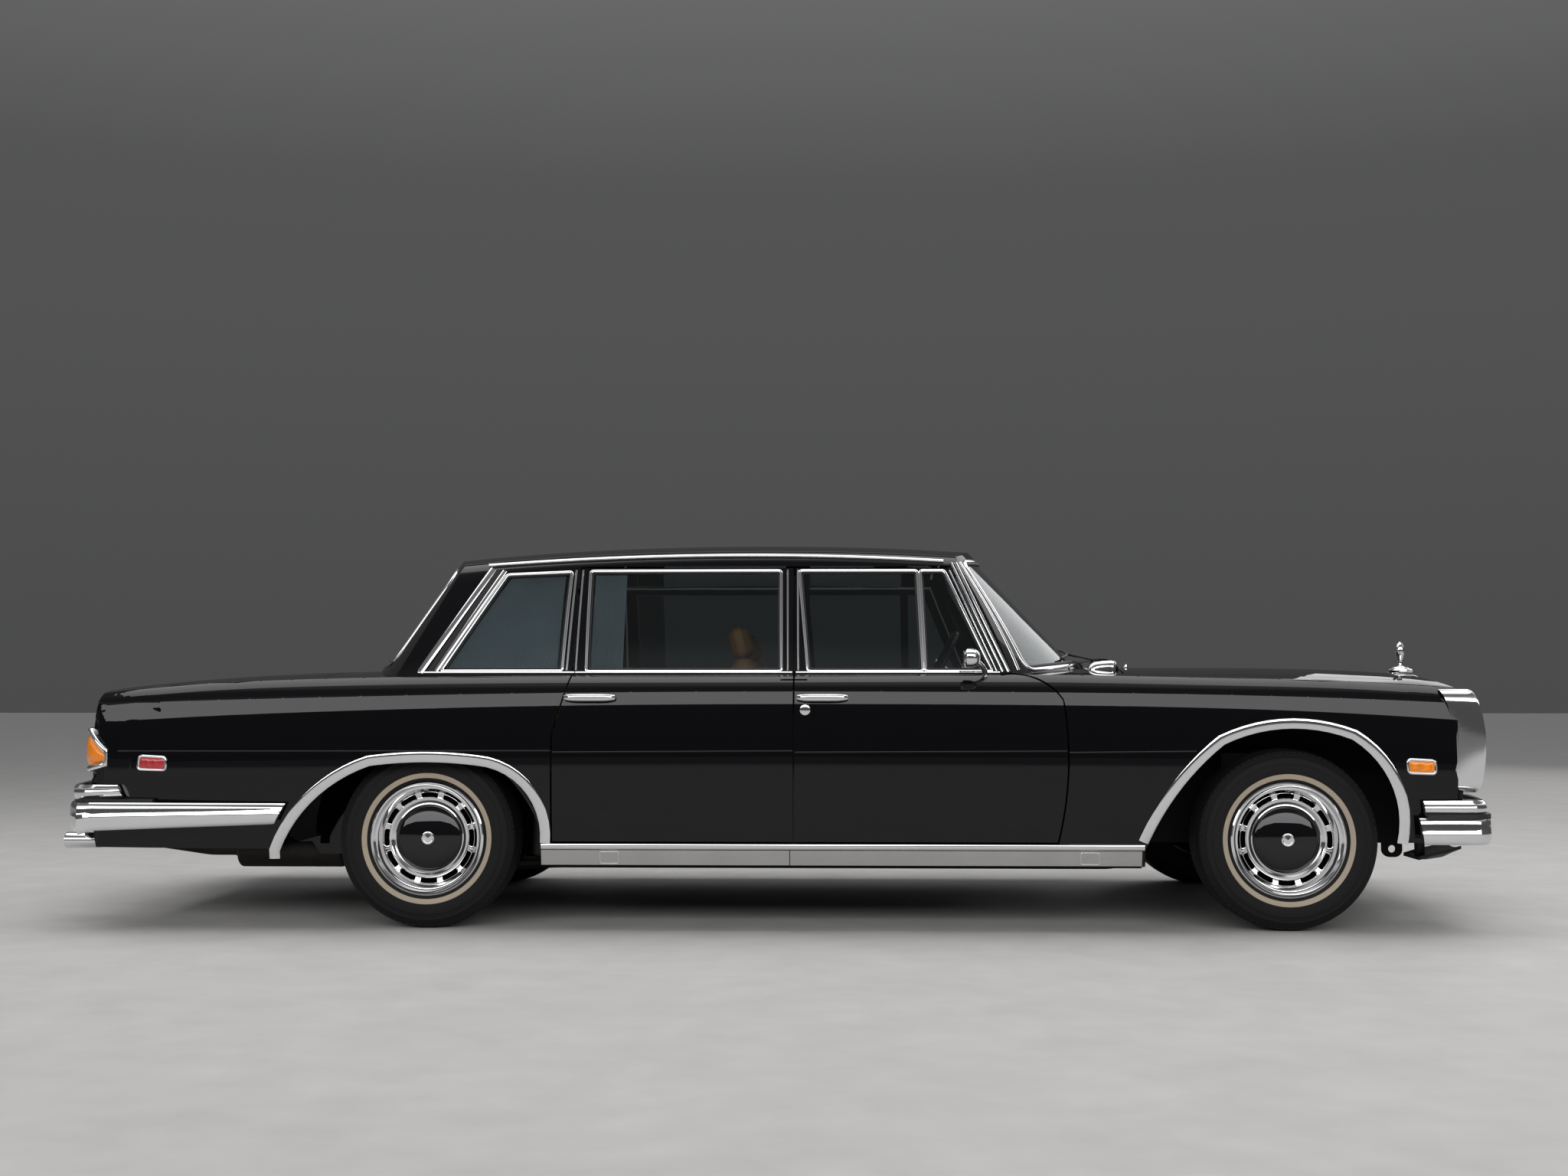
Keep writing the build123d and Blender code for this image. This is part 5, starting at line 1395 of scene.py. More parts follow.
@dataclass
class Headlamps:
    """Tall one-piece headlamps: bezel, domed ribbed lens, and the bowls behind it."""
    low_z: float = 0.512
    high_z: float = 0.893
    in_y: float = 0.690
    out_y: float = 0.928
    front_x: float = 2.652
    corner: float = 0.05
    lens_wall: float = 0.005
    # Loops of a lens from its middle outwards, as shares of its outline
    dome_shares: tuple[float, ...] = (0.0, 0.19, 0.38, 0.56, 0.72, 0.85, 0.94, 1.0)
    # Inset and distance back from the front of the bezel's loops
    bezel_loops: tuple[Pair, ...] = ((0.0, 0.010), (0.002, 0.003), (0.008, 0.0), (0.016, 0.003), (0.020, 0.010),
                                     (0.020, 0.050), (0.003, 0.120), (0.0, 0.120))
    # Height, radius and depth of each bowl, and its bulb's radius
    bowls: tuple = ((0.762, 0.083, 0.055, 0.014), (0.618, 0.058, 0.05, 0.012))
    turn_inset: float = 0.03
    turn_share: float = 0.085

    @property
    def middle(self) -> Array:
        """(y, z) of the lamp's middle."""
        return np.array([(self.in_y + self.out_y) / 2, (self.low_z + self.high_z) / 2])

    def outline(self, inset: float) -> Array:
        """Rounded (y, z) outline of the lamp on the left side."""
        corners = rectangle(self.in_y + inset, self.out_y - inset, self.low_z + inset, self.high_z - inset)
        return divided(rounded_loop(corners, self.corner - 0.5 * inset, 9), 0.02, True)

    def face_x(self, z: Array | float) -> Array | float:
        """Front of the bezel at a height: upright, leaning back at its top."""
        share = (z - self.low_z) / (self.high_z - self.low_z)
        return self.front_x - 0.036 * (1 - share) ** 2.2 - 0.058 * share ** 3.2

    def loop(self, flat: Array, out: float) -> Array:
        """(y, z) points put a distance out from the bezel's front."""
        return np.stack([self.face_x(flat[:, 1]) + out, *flat.T], -1)

    def bezel(self) -> Shape:
        """A closed ring-shaped shell through the bezel's loops."""
        half = np.array([self.out_y - self.in_y, self.high_z - self.low_z]) / 2
        base = self.outline(0.0) - self.middle
        return lofted([self.loop(self.middle + base * (half - inset) / half, -back)
                       for inset, back in self.bezel_loops])

    def dome(self, inset: float, back: float, bulge: float) -> Shape:
        """A closed lens over the outline, crowned across its width."""
        base = self.outline(inset) - self.middle
        loops = []
        for wall, shares in ((self.lens_wall, self.dome_shares), (0.0, self.dome_shares[::-1])):
            loops += [self.loop(self.middle + base * share, bulge * (1 - share ** 2.4) - back - wall)
                      for share in shares]
        return lofted(loops, False)

    def bowl(self, z: float, radius: float, depth: float) -> Shape:
        """A round reflector that opens forwards."""
        profile = [(radius, 0.0), (radius * 0.92, -0.02), (radius * 0.7, -0.6 * depth),
                   (radius * 0.35, -0.92 * depth), (0.012, -depth), (0.012, -depth - 0.004),
                   (radius * 0.74, -0.62 * depth), (radius, -0.02), (radius + 0.006, 0.0)]
        return turned_at(profile, 40, (self.face_x(z) - 0.035, self.middle[0], z), Facing.FRONT)

    def bulb(self, z: float, radius: float) -> Shape:
        """A bulb in its bowl."""
        profile = [(0.0, 0.0), (radius, -0.006), (radius, -0.04), (0.0, -0.04)]
        return turned_at(profile, 20, (self.face_x(z) - 0.045, self.middle[0], z), Facing.FRONT)

    def build(self) -> None:
        """Makes both lamps."""
        bowls = merged(*(self.bowl(z, radius, depth) for z, radius, depth, _ in self.bowls))
        bulbs = merged(*(self.bulb(z, small) for z, _, _, small in self.bowls))
        turn = self.dome(self.turn_inset, 0.030, 0.004)
        foot = self.low_z + self.turn_inset
        turn[0][:, 2] = foot + (turn[0][:, 2] - foot) * self.turn_share
        rows = (("bezel", self.bezel(), "chrome_plate", 40, "headlamp_bezels"),
                ("lens", self.dome(0.0205, 0.012, 0.026), "lamp_glass", 50, "headlamp_lenses"),
                ("bowls", bowls, "chrome_plate", 50, ""), ("bulbs", bulbs, "lamp_glass", 35, ""),
                ("backing", self.dome(0.0215, 0.047, 0.0), "chrome_plate", 35, ""))
        for name, shape, finish, smooth, node in rows:
            sided("headlamp_" + name, shape, finish, smooth=smooth, replaces=node, drawn=1)
        sided("turn_lamp", turn, "amber_glass", drawn=1)


@dataclass
class RearLamps:
    """Tail lamps that wrap the corners, in bright frames, and the side markers."""
    radius: float = 0.10
    centre: Pair = (-2.495, 0.802)
    rim_centre: Pair = (-2.497, 0.802)
    in_y: float = 0.72
    low_z: float = 0.592
    high_z: float = 0.735
    inside: Triple = (-2.49, 0.79, 0.66)
    wall: float = 0.025
    # Columns of the lamp's grid that each glass takes
    glasses: tuple = (("amber", slice(0, 12), ""), ("red", slice(11, 22), "tail_lamps"))
    markers: tuple = (("rear", [(-2.372, 0.588), (-2.254, 0.585), (-2.254, 0.641), (-2.366, 0.647)], "red_glass"),
                      ("front", [(2.338, 0.582), (2.446, 0.578), (2.448, 0.634), (2.336, 0.64)], "amber_glass"))

    def wrap(self, lift: float, inset: float, bulge: float) -> Array:
        """Grid of points over the left lamp, from its side end round the corner to its inner end."""
        centre = np.array(self.centre)
        angle = np.linspace(math.radians(93), math.pi, 14)
        corner = centre + (self.radius + lift) * np.stack([np.cos(angle), np.sin(angle)], -1)
        tail = [(corner[-1][0], y) for y in np.linspace(centre[1] - 0.03, self.in_y, 8)]
        path = np.concatenate([corner, tail])
        share = np.linspace(0, 1, len(path))
        low = self.low_z + np.clip(0.3 - share, 0, 1) * 0.06 + inset
        high = self.high_z - np.clip(0.34 - share, 0, 1) * 0.22 - inset
        out = unit(path - centre)
        out[len(corner):] = (-1, 0)
        height = np.linspace(0, 1, 9)[:, None]
        flat = path + out * (bulge * (1 - (2 * height - 1) ** 4))[..., None]
        return np.concatenate([flat, (low + (high - low) * height)[..., None]], -1)

    def tail_lamps(self) -> None:
        """Amber and red glass round each rear corner, in a bright rim."""
        whole = self.wrap(-0.004, 0.011, 0.014)
        for name, columns, node in self.glasses:
            rows = whole[:, columns]
            away = unit(self.inside - rows.reshape(-1, 3).mean(0)) * self.wall
            sided("tail_lamp_" + name, plate(rows, away), name + "_glass", smooth=40, replaces=node, drawn=1)
        loop = rim_of(self.wrap(-0.002, 0.0, 0.0))
        up = at_height(loop[:, :2] - self.rim_centre, 0.0)
        up[:, 1] = np.clip(up[:, 1], 0, None)
        rim = swept(loop, unit(up), bead(0.021, 0.010, sink=0.03), True)
        sided("tail_lamp_rim", rim, "chrome_plate", drawn=1)

    def side_markers(self) -> None:
        """Crowned lenses in bright frames on the four corners' sides."""
        across = np.linspace(0, 1, 13)
        for name, corners, finish in self.markers:
            outline = rounded_loop(grown(corners, -0.004), 0.014)
            Moulding("marker_frame_" + name, "body", outline, 0.012, 0.008, closed=True, step=0.02).build()
            a, b, c, d = grown(corners, -0.006)
            rows = []
            for t in np.linspace(0, 1, 7):
                left, right = a + (d - a) * t, b + (c - b) * t
                swell = 0.002 + 0.0055 * (1 - (2 * t - 1) ** 4) * (1 - (2 * across - 1) ** 6)
                flat, _ = side_path("side", left + (right - left) * across[:, None])
                rows.append(flat - swell[:, None] * (0, 1, 0))
            sided("marker_lens_" + name, plate(np.array(rows), (0, 0.006, 0)), finish, replaces="side_markers")

    def build(self) -> None:
        """Makes the lamps of both sides."""
        self.tail_lamps()
        self.side_markers()


# Wheels

TYRE_FLANK = [(0.1935, 0.079), (0.204, 0.090), (0.2135, 0.0968), (0.224, 0.1005), (0.236, 0.1042),
              (0.246, 0.1062), (0.262, 0.1087), (0.277, 0.1082), (0.2785, 0.1093), (0.2825, 0.1088),
              (0.284, 0.1072), (0.297, 0.1045), (0.299, 0.1052), (0.303, 0.1042), (0.304, 0.1028),
              (0.316, 0.0965), (0.3255, 0.0885), (0.3305, 0.079), (0.3335, 0.068)]
# Turned pieces of a wheel: name, finish, sharp angle, and its (radius, outward) profile
WHEEL_RINGS = (
    ("whitewall", "whitewall", 40, [(0.2245, 0.0995), (0.2255, 0.1022), (0.2345, 0.1052), (0.2435, 0.1072),
                                    (0.2445, 0.1045), (0.234, 0.101)]),
    ("trim_ring", "chrome_plate", 30, [
        (0.2135, 0.095), (0.2125, 0.0985), (0.208, 0.1012), (0.2025, 0.1005), (0.199, 0.0965), (0.194, 0.0925),
        (0.1905, 0.0925), (0.187, 0.0915), (0.182, 0.0815), (0.1765, 0.0705), (0.1725, 0.065), (0.1705, 0.058),
        (0.1705, 0.040), (0.163, 0.030), (0.163, -0.034), (0.186, -0.078), (0.190, -0.084), (0.2015, -0.0895),
        (0.2015, -0.086), (0.1915, -0.080), (0.168, -0.030), (0.168, 0.030), (0.186, 0.070), (0.1915, 0.080),
        (0.205, 0.091)]),
    # The dish behind the slots is matt black: painted shade for the inside of the wheel.
    ("slot_shade_dish", "slot_painted_shade", 40, [(0.1715, 0.046), (0.1715, 0.026), (0.06, 0.018), (0.06, 0.03),
                                       (0.12, 0.042), (0.152, 0.046)]),
    ("inner_ring", "chrome_plate", 30, [
        (0.1555, 0.050), (0.1545, 0.058), (0.152, 0.0655), (0.1475, 0.0695), (0.142, 0.0695), (0.1375, 0.0665),
        (0.133, 0.0605), (0.129, 0.0585), (0.1255, 0.0595), (0.1235, 0.0575), (0.1235, 0.050), (0.14, 0.046)]),
    ("hub_cap", "hub_lacquer", 50, [
        (0.1238, 0.0545), (0.1215, 0.0592), (0.114, 0.0645), (0.098, 0.0708), (0.078, 0.0762), (0.052, 0.0808),
        (0.026, 0.0838), (0.0004, 0.0848), (0.0004, 0.05), (0.12, 0.05)]),
    ("hub_boss", "chrome_plate", 40, [
        (0.0245, 0.0832), (0.0235, 0.0862), (0.0205, 0.0872), (0.0175, 0.0866), (0.0165, 0.0858),
        (0.0004, 0.0866), (0.0004, 0.08), (0.0235, 0.08)]),
)


@dataclass
class Wheel:
    """One wheel: tyre with its tread and pale ring, bright trim ring, slotted disc and domed hub cap."""
    end: str
    label: str
    side: int
    segments: int = 96
    grooves: tuple[float, ...] = (0.049, 0.017, -0.017, -0.049)
    groove_top: float = 0.0045
    groove_foot: float = 0.003
    groove_depth: float = 0.008
    tread_blocks: int = 84
    block_half: float = 0.0072
    slots: int = 12
    slot_radius: float = 0.1605
    disc_half: float = 0.0125
    slot_half: float = 0.0098
    slot_corner: float = 0.0065
    disc_out: float = 0.0585
    disc_lean: float = 0.004

    @property
    def place(self) -> str:
        """The wheel's end and side, as in the names of its nodes."""
        return f"{self.end}_{self.label}"

    @property
    def centre(self) -> Triple:
        """The wheel's middle."""
        return FRONT_AXLE_X if self.end == "front" else REAR_AXLE_X, self.side * TRACK_HALF, TYRE_RADIUS

    def made(self, name: str, shape: Shape, finish: str, smooth: float, replaces: str = "",
             copies: int = 0) -> None:
        """Makes a piece of the wheel from a shape in the wheel's own frame, in copies round it if asked."""
        points, faces = shape
        part = closed_mesh(f"{name}_{self.place}", points * (1, self.side, 1) + self.centre, faces, smooth)
        if copies:
            repeated(part, finish, copies, turn=(0, math.tau / copies, 0), centre=self.centre)
        dressed(part, finish, "wheel_" + self.place, (replaces,) if replaces else ())

    def tyre(self) -> None:
        """Tyre with five ribs and a row of blocks on each shoulder."""
        foot = TYRE_RADIUS - self.groove_depth
        grooves = []
        for out in self.grooves:
            grooves += [(TYRE_RADIUS, out + self.groove_top), (foot, out + self.groove_foot),
                        (foot, out - self.groove_foot), (TYRE_RADIUS, out - self.groove_top)]
        profile = TYRE_FLANK + grooves + [(radius, -out) for radius, out in reversed(TYRE_FLANK)]
        self.made("tyre_carcass", turned(profile, self.segments), "rubber", 30, "tyre_" + self.place)
        points, faces = block((-self.block_half, 0, 0), (self.block_half, 1, 1), 0.0012, 1)
        x, share, height = points.T
        radius = 0.3345 - share ** 2 * 0.0085 - (1 - height) * 0.008
        blocks = [(np.stack([x, sign * (0.0595 + share * 0.031), radius], -1), faces) for sign in (1, -1)]
        self.made("tread_blocks", merged(*blocks), "rubber", 35, copies=self.tread_blocks)

    def slot_loop(self, half: Pair, corner: float, out: float) -> Array:
        """Loop round a slot or round its sector of the disc.

        Args:
            half: half its length round the wheel, and half its height.
            corner: radius of its corners.
            out: how far out it stands.

        Returns:
            Its points in the wheel's own frame.
        """
        run = np.linspace(-1, 1, 9)[:-1]
        ends = np.ones(len(run))
        flat = np.stack([np.concatenate([run, ends, -run, -ends]),
                         np.concatenate([-ends, run, ends, -run])], -1) * half
        if corner:
            core = np.clip(flat, corner - np.array(half), np.array(half) - corner)
            away = flat - core
            length = np.linalg.norm(away, axis=1, keepdims=True)
            flat = core + away / np.maximum(length, TINY) * np.minimum(length, corner)
        angle, reach = flat[:, 0] / self.slot_radius, self.slot_radius + flat[:, 1]
        lean = out + self.disc_lean * flat[:, 1] / self.disc_half
        return np.stack([np.sin(angle) * reach, lean, np.cos(angle) * reach], -1)

    def slotted_disc(self) -> None:
        """The disc, one sector with its rounded slot repeated round the wheel."""
        sector = (math.pi / self.slots * self.slot_radius, self.disc_half)
        high, corner, out = self.slot_half, self.slot_corner, self.disc_out
        loops = [self.slot_loop(*row) for row in (
            (sector, 0, out), ((0.033, high + 0.001), corner, out + 0.001),
            ((0.0315, high), corner, out + 0.0003), ((0.031, high - 0.0005), corner, out - 0.0105),
            (sector, 0, out - 0.0105))]
        self.made("slotted_disc", lofted(loops), "chrome_plate", 30, copies=self.slots)

    def build(self) -> None:
        """Makes the whole wheel."""
        self.tyre()
        for name, finish, smooth, profile in WHEEL_RINGS:
            node = "wheel_" + self.place if name == "trim_ring" else ""
            self.made(name, turned(profile, self.segments), finish, smooth, node)
        self.slotted_disc()


# Front

@dataclass
class Grille:
    """Upright radiator shell with its slats, and the plain finial on the bonnet."""
    rear_x: float = 2.498
    front_x: float = 2.706
    half: float = 0.300
    low: float = 0.505
    shoulder: float = 0.868
    crown: float = 0.933
    hood_z: float = 0.9045
    slats: int = 22
    slat_foot: float = 0.034
    bars: int = 9
    bar_pitch: float = 0.06
    finial_x: float = 2.622
    # Inset and distance from the rear face of the shell's loops
    shell_loops: tuple[Pair, ...] = ((0.0, 0.0), (0.0, 0.190), (0.003, 0.199), (0.010, 0.2055), (0.022, 0.207),
                                     (0.032, 0.203), (0.036, 0.194), (0.036, 0.02), (0.030, 0.0))
    finial_profile: tuple[Pair, ...] = (
        (0.0005, 0.962), (0.047, 0.962), (0.0505, 0.967), (0.0505, 0.972), (0.046, 0.977), (0.036, 0.979),
        (0.033, 0.983), (0.018, 0.986), (0.0105, 0.990), (0.0075, 0.998), (0.0085, 1.012), (0.013, 1.026),
        (0.0175, 1.042), (0.0188, 1.056), (0.0165, 1.071), (0.010, 1.084), (0.0005, 1.0915))

    def outline(self, inset: float) -> Array:
        """Rounded (y, z) outline of the shell, moved in by a distance."""
        half, low, shoulder = self.half, self.low, self.shoulder
        top, bend = (half - 0.046, shoulder + 0.040), (half - 0.012, shoulder + 0.028)
        rise = joined(divided([(half, low), (half, shoulder)], 0.05), arc((half, shoulder), bend, top, 8))
        loop = joined(divided([(-half, low), (half, low)], 0.05), rise,
                      arc(top, (0, self.crown), (-top[0], top[1]), 26), rise[::-1] * (-1, 1))[:-1]
        height = self.crown - low
        return np.stack([loop[:, 0] * (half - inset) / half,
                         low + inset + (loop[:, 1] - low) * (height - 2 * inset) / height], -1)

    def shell(self) -> None:
        """The chrome shell, with its top edge kept under the hood."""
        loops = []
        for inset, depth in self.shell_loops:
            flat = self.outline(inset)
            loops.append(np.stack([np.full(len(flat), self.rear_x + depth), *flat.T], -1))
        points, faces = lofted(loops)
        under_hood = (points[:, 2] > self.hood_z - 0.0015) & (points[:, 0] < self.rear_x + 0.032)
        points[under_hood, 2] = self.hood_z
        piece("radiator_shell", (points, faces), "chrome_plate", smooth=40, replaces="radiator_grille")

    def slats_and_bars(self) -> None:
        """Sloping slats, upright bars and the dark mesh behind them."""
        low = self.low + self.slat_foot
        step = (self.shoulder - low) / self.slats
        z, x, wide = low + step / 2, self.front_x - 0.03, self.half - 0.03
        points, faces = block((x - 0.028, -wide, z - 0.0028), (x, wide, z + 0.0028), 0.0024)
        points[:, 2] += (points[:, 0] - x) * 0.25
        slats = closed_mesh("grille_slats", points, faces)
        dressed(repeated(slats, "chrome_plate", self.slats, (0, 0, step)), "chrome_plate")
        y = -self.bar_pitch * (self.bars - 1) / 2
        bars = closed_mesh("grille_bars", *block((x - 0.03, y - 0.0025, self.low + 0.03),
                                                 (x + 0.004, y + 0.0025, self.shoulder + 0.02), 0.002))
        dressed(repeated(bars, "chrome_plate", self.bars, (0, self.bar_pitch, 0)), "chrome_plate")
        back_x, wide = self.rear_x + 0.05, self.half - 0.034
        back = block((back_x, -wide, self.low + 0.03), (back_x + 0.004, wide, self.shoulder + 0.01), 0.001)
        piece("grille_mesh", back, "vent_mesh")

    def finial(self) -> None:
        """Plain turned finial on a foot that follows the fall of the hood."""
        x = self.finial_x
        foot = block((x - 0.045, -0.032, 0.925), (x + 0.07, 0.032, 0.966), 0.012, 3)
        foot[0][:, 2] -= np.clip(foot[0][:, 0] - x, 0, 1) * 0.28
        post = turned_at(self.finial_profile, 40, (x, 0, 0), Facing.UP)
        piece("finial", merged(post, foot), "chrome_plate", smooth=40)

    def build(self) -> None:
        """Makes the grille."""
        self.shell()
        self.slats_and_bars()
        self.finial()


# Fittings

@dataclass
class Handles:
    """Pull handles, each with a black line of painted shade where its recess lies, the lock, and the door
    mirrors, drawn on the right.
    """
    spans: tuple = (("front", 0.104, 0.296), ("rear", -0.759, -0.565))
    z: float = 0.861
    skin_y: float = 0.972
    bow: float = 0.022
    lock: Pair = (0.136, 0.8155)
    head: Triple = (0.734, -0.990, 1.007)
    # Reach of the mirror's case: forwards, backwards, to each side, up and down
    head_size: tuple[float, float, float, float] = (0.046, 0.016, 0.060, 0.036)
    head_power: float = 0.72
    stalk_radius: float = 0.0105
    stalk: tuple[Triple, ...] = ((0.808, -0.893, 0.926), (0.808, -0.925, 0.982), (0.762, -0.965, 0.996))

    def grip(self, x0: float, x1: float) -> Shape:
        """A bowed bar between two rounded feet."""
        xs = np.linspace(x0 + 0.004, x1 - 0.004, 25)
        bend = np.abs(2 * (xs - x0) / (x1 - x0) - 1)
        path = np.stack([xs, -self.skin_y - self.bow * (1 - bend ** 5), np.full(len(xs), self.z)], -1)
        taper = 1 - 0.25 * bend ** 4
        bar = swept(path, (0, -1, 0), ellipse(14, 0.0125, 0.0055) * taper[:, None, None])
        feet = [block((x - 0.013, -0.982, self.z - 0.011), (x + 0.013, -0.95, self.z + 0.011), 0.006, 3)
                for x in (x0 + 0.016, x1 - 0.016)]
        return merged(bar, *feet)

    def mirror_case(self) -> Shape:
        """Rounded mirror case on its stalk with a flared foot."""
        mesh = bmesh.new()
        bmesh.ops.create_uvsphere(mesh, u_segments=32, v_segments=20, radius=1.0)
        points, faces = shape_of(mesh)
        shape = np.sign(points) * np.abs(points) ** self.head_power
        front, rear, wide, high = self.head_size
        shape *= np.stack([np.where(shape[:, 0] > 0, front, rear), np.full(len(shape), wide),
                           np.full(len(shape), high)], -1)
        foot, bend, top = np.array(self.stalk)
        share = np.linspace(0, 1, 14)[:, None]
        flare = 1 + 1.6 * np.exp(-(share * 9) ** 2)
        oval = ellipse(20, self.stalk_radius, self.stalk_radius)
        stalk = swept(curve(foot, bend, top, share), (1, 0, 0), oval * flare[:, :, None])
        return merged((shape + self.head, faces), stalk)

    def build(self) -> None:
        """Makes all handles and mirrors."""
        for end, x0, x1 in self.spans:
            sided("pull_handle_" + end, self.grip(x0, x1), "chrome_plate", "door_" + end, 50,
                  f"handle_{end}_{{}}")
            # Painted shade: a thin black bead on the door skin round each grip stands for the shade of its
            # recess.
            corners = rectangle(x0 + 0.025, x1 - 0.025, self.z - 0.015, self.z + 0.011)
            points, up = side_path("side", divided(rounded_loop(corners, 0.012), 0.02, True))
            sided("handle_recess_" + end, swept(points, up, bead(0.003, 0.0012), True), "seal_rubber",
                  "door_" + end)
        profile = [(0.0005, 0.004), (0.014, 0.004), (0.019, 0.0025), (0.0215, -0.001), (0.0215, -0.01),
                   (0.0005, -0.01)]
        seat = side_path("side", [self.lock])[0][0]
        face = block((0.7165, -1.032, 0.984), (0.7195, -0.948, 1.030), 0.001, 1)
        for name, shape, smooth in (("door_lock", turned_at(profile, 32, seat, Facing.RIGHT), 35),
                                    ("mirror_case", self.mirror_case(), 60), ("mirror_glass", face, 35)):
            sided(name, shape, "chrome_plate", "door_front", smooth)


@dataclass
class Scuttle:
    """Bright air intake ahead of the windscreen, with the washer nozzles."""
    half: float = 0.521
    cap: float = 0.026
    foot_z: float = 0.955
    middle_x: float = 1.295
    screen_gap: float = 0.024
    profile: tuple[Pair, ...] = (
        (1.2370, 0.955), (1.2385, 0.972), (1.2475, 0.9885), (1.2635, 0.9998), (1.295, 1.0050), (1.3315, 1.0062),
        (1.3475, 1.0015), (1.3525, 0.993), (1.3515, 0.972), (1.3500, 0.955))
    nozzles: tuple[Pair, ...] = ((1.44, -0.21), (1.44, 0.21))

    def intake(self) -> Shape:
        """The cover: one section carried across the car, clear of the windscreen and rounded at both ends."""
        ends = self.half + self.cap * np.sin(np.linspace(0, math.pi / 2, 9) * 0.985)
        rows = []
        for y in np.concatenate([-ends[::-1], np.linspace(-self.half, self.half, 41)[1:-1], ends]):
            x, z = np.array(self.profile).T
            place = np.stack([x, np.full(len(x), y), z], -1)
            place[:, 0] += np.clip(self.screen_gap - FIELDS["windscreen"](place), 0, None)
            end = math.sqrt(1 - (0.97 * np.clip((abs(y) - self.half) / self.cap, 0, 1)) ** 2)
            place[:, 2] = self.foot_z + (place[:, 2] - self.foot_z) * (0.4 + 0.6 * end)
            place[:, 0] = self.middle_x + (place[:, 0] - self.middle_x) * (0.5 + 0.5 * end)
            rows.append(place)
        return lofted(rows, False)

    def build(self) -> None:
        """Makes the intake, its mesh, the nozzles and the wipers."""
        piece("air_intake", self.intake(), "chrome_plate", smooth=40)
        wide = self.half - 0.04
        piece("intake_mesh", block((1.350, -wide, 0.970), (1.354, wide, 0.989), 0.001, 1), "vent_mesh")
        profile = [(0.0005, 0.0), (0.008, 0.0), (0.0085, 0.004), (0.006, 0.014), (0.0005, 0.016)]
        seats, _ = pinned("deck", [(x, y, 0.98) for x, y in self.nozzles], 2)
        piece("washer_nozzles", merged(*(turned_at(profile, 20, seat, Facing.UP) for seat in seats)),
              "chrome_plate", "hood")
        keep("wipers", "wiper_black")


# Cabin

def cushion(name: str, centre: Triple, size: Triple, lean: float = 0.0, channels: int = 0, crown: float = 0.018,
            axis: int = 2, edge: float = 0.05, replaces: str = "") -> None:
    """A padded cushion: crowned, with its sides pulled in and sewn channels across its face.

    Args:
        name: the piece's name.
        centre: its middle.
        size: its size before it leans.
        lean: turn about the Y axis, in degrees.
        channels: how many sewn channels it has, 0 for none.
        crown: how far its faces bulge.
        axis: the axis that its face looks along.
        edge: radius of its edges.
        replaces: the node that it stands for.
    """
    mesh = bmesh.new()
    bmesh.ops.create_cube(mesh, size=2.0)
    bmesh.ops.subdivide_edges(mesh, edges=mesh.edges[:], cuts=31, use_grid_fill=True)
    whole, faces = shape_of(mesh)
    across, others = 1, [k for k in range(3) if k != axis]
    half = np.array(size) / 2 - [crown if k == axis else crown * 0.35 for k in range(3)]
    radius = min(edge, half.min() * 0.95)
    place = whole * half
    core = np.clip(place, radius - half, half - radius)
    out = place - core
    length = np.linalg.norm(out, axis=1, keepdims=True)
    place = core + out / np.maximum(length, TINY) * np.minimum(length, radius)
    swell = np.prod([1 - whole[:, k] ** 4 for k in others], axis=0)
    facing = np.sign(whole[:, axis]) * np.clip(np.abs(whole[:, axis]) * 1.6 - 0.6, 0, 1)
    place[:, axis] += facing * crown * swell
    side = next(k for k in others if k != across)
    if channels:
        sewn = half[across] * 0.86
        wave = np.abs(np.sin((place[:, across] / sewn + 1) / 2 * channels * math.pi)) ** 0.45
        zone = np.clip((0.8 * half[side] - np.abs(place[:, side])) / 0.03, 0, 1)
        place[:, axis] -= facing * SEAM_DEPTH * (1 - wave) * (np.abs(place[:, across]) < sewn) * zone
    welt = np.exp(-((np.abs(place[:, across]) - half[across] * 0.88) / 0.006) ** 2)
    place[:, axis] -= facing * 0.6 * SEAM_DEPTH * welt
    turn = np.array(Matrix.Rotation(math.radians(lean), 3, "Y"))
    made = piece(name, (place @ turn.T + centre, faces), "tan_leather", smooth=60, replaces=replaces)


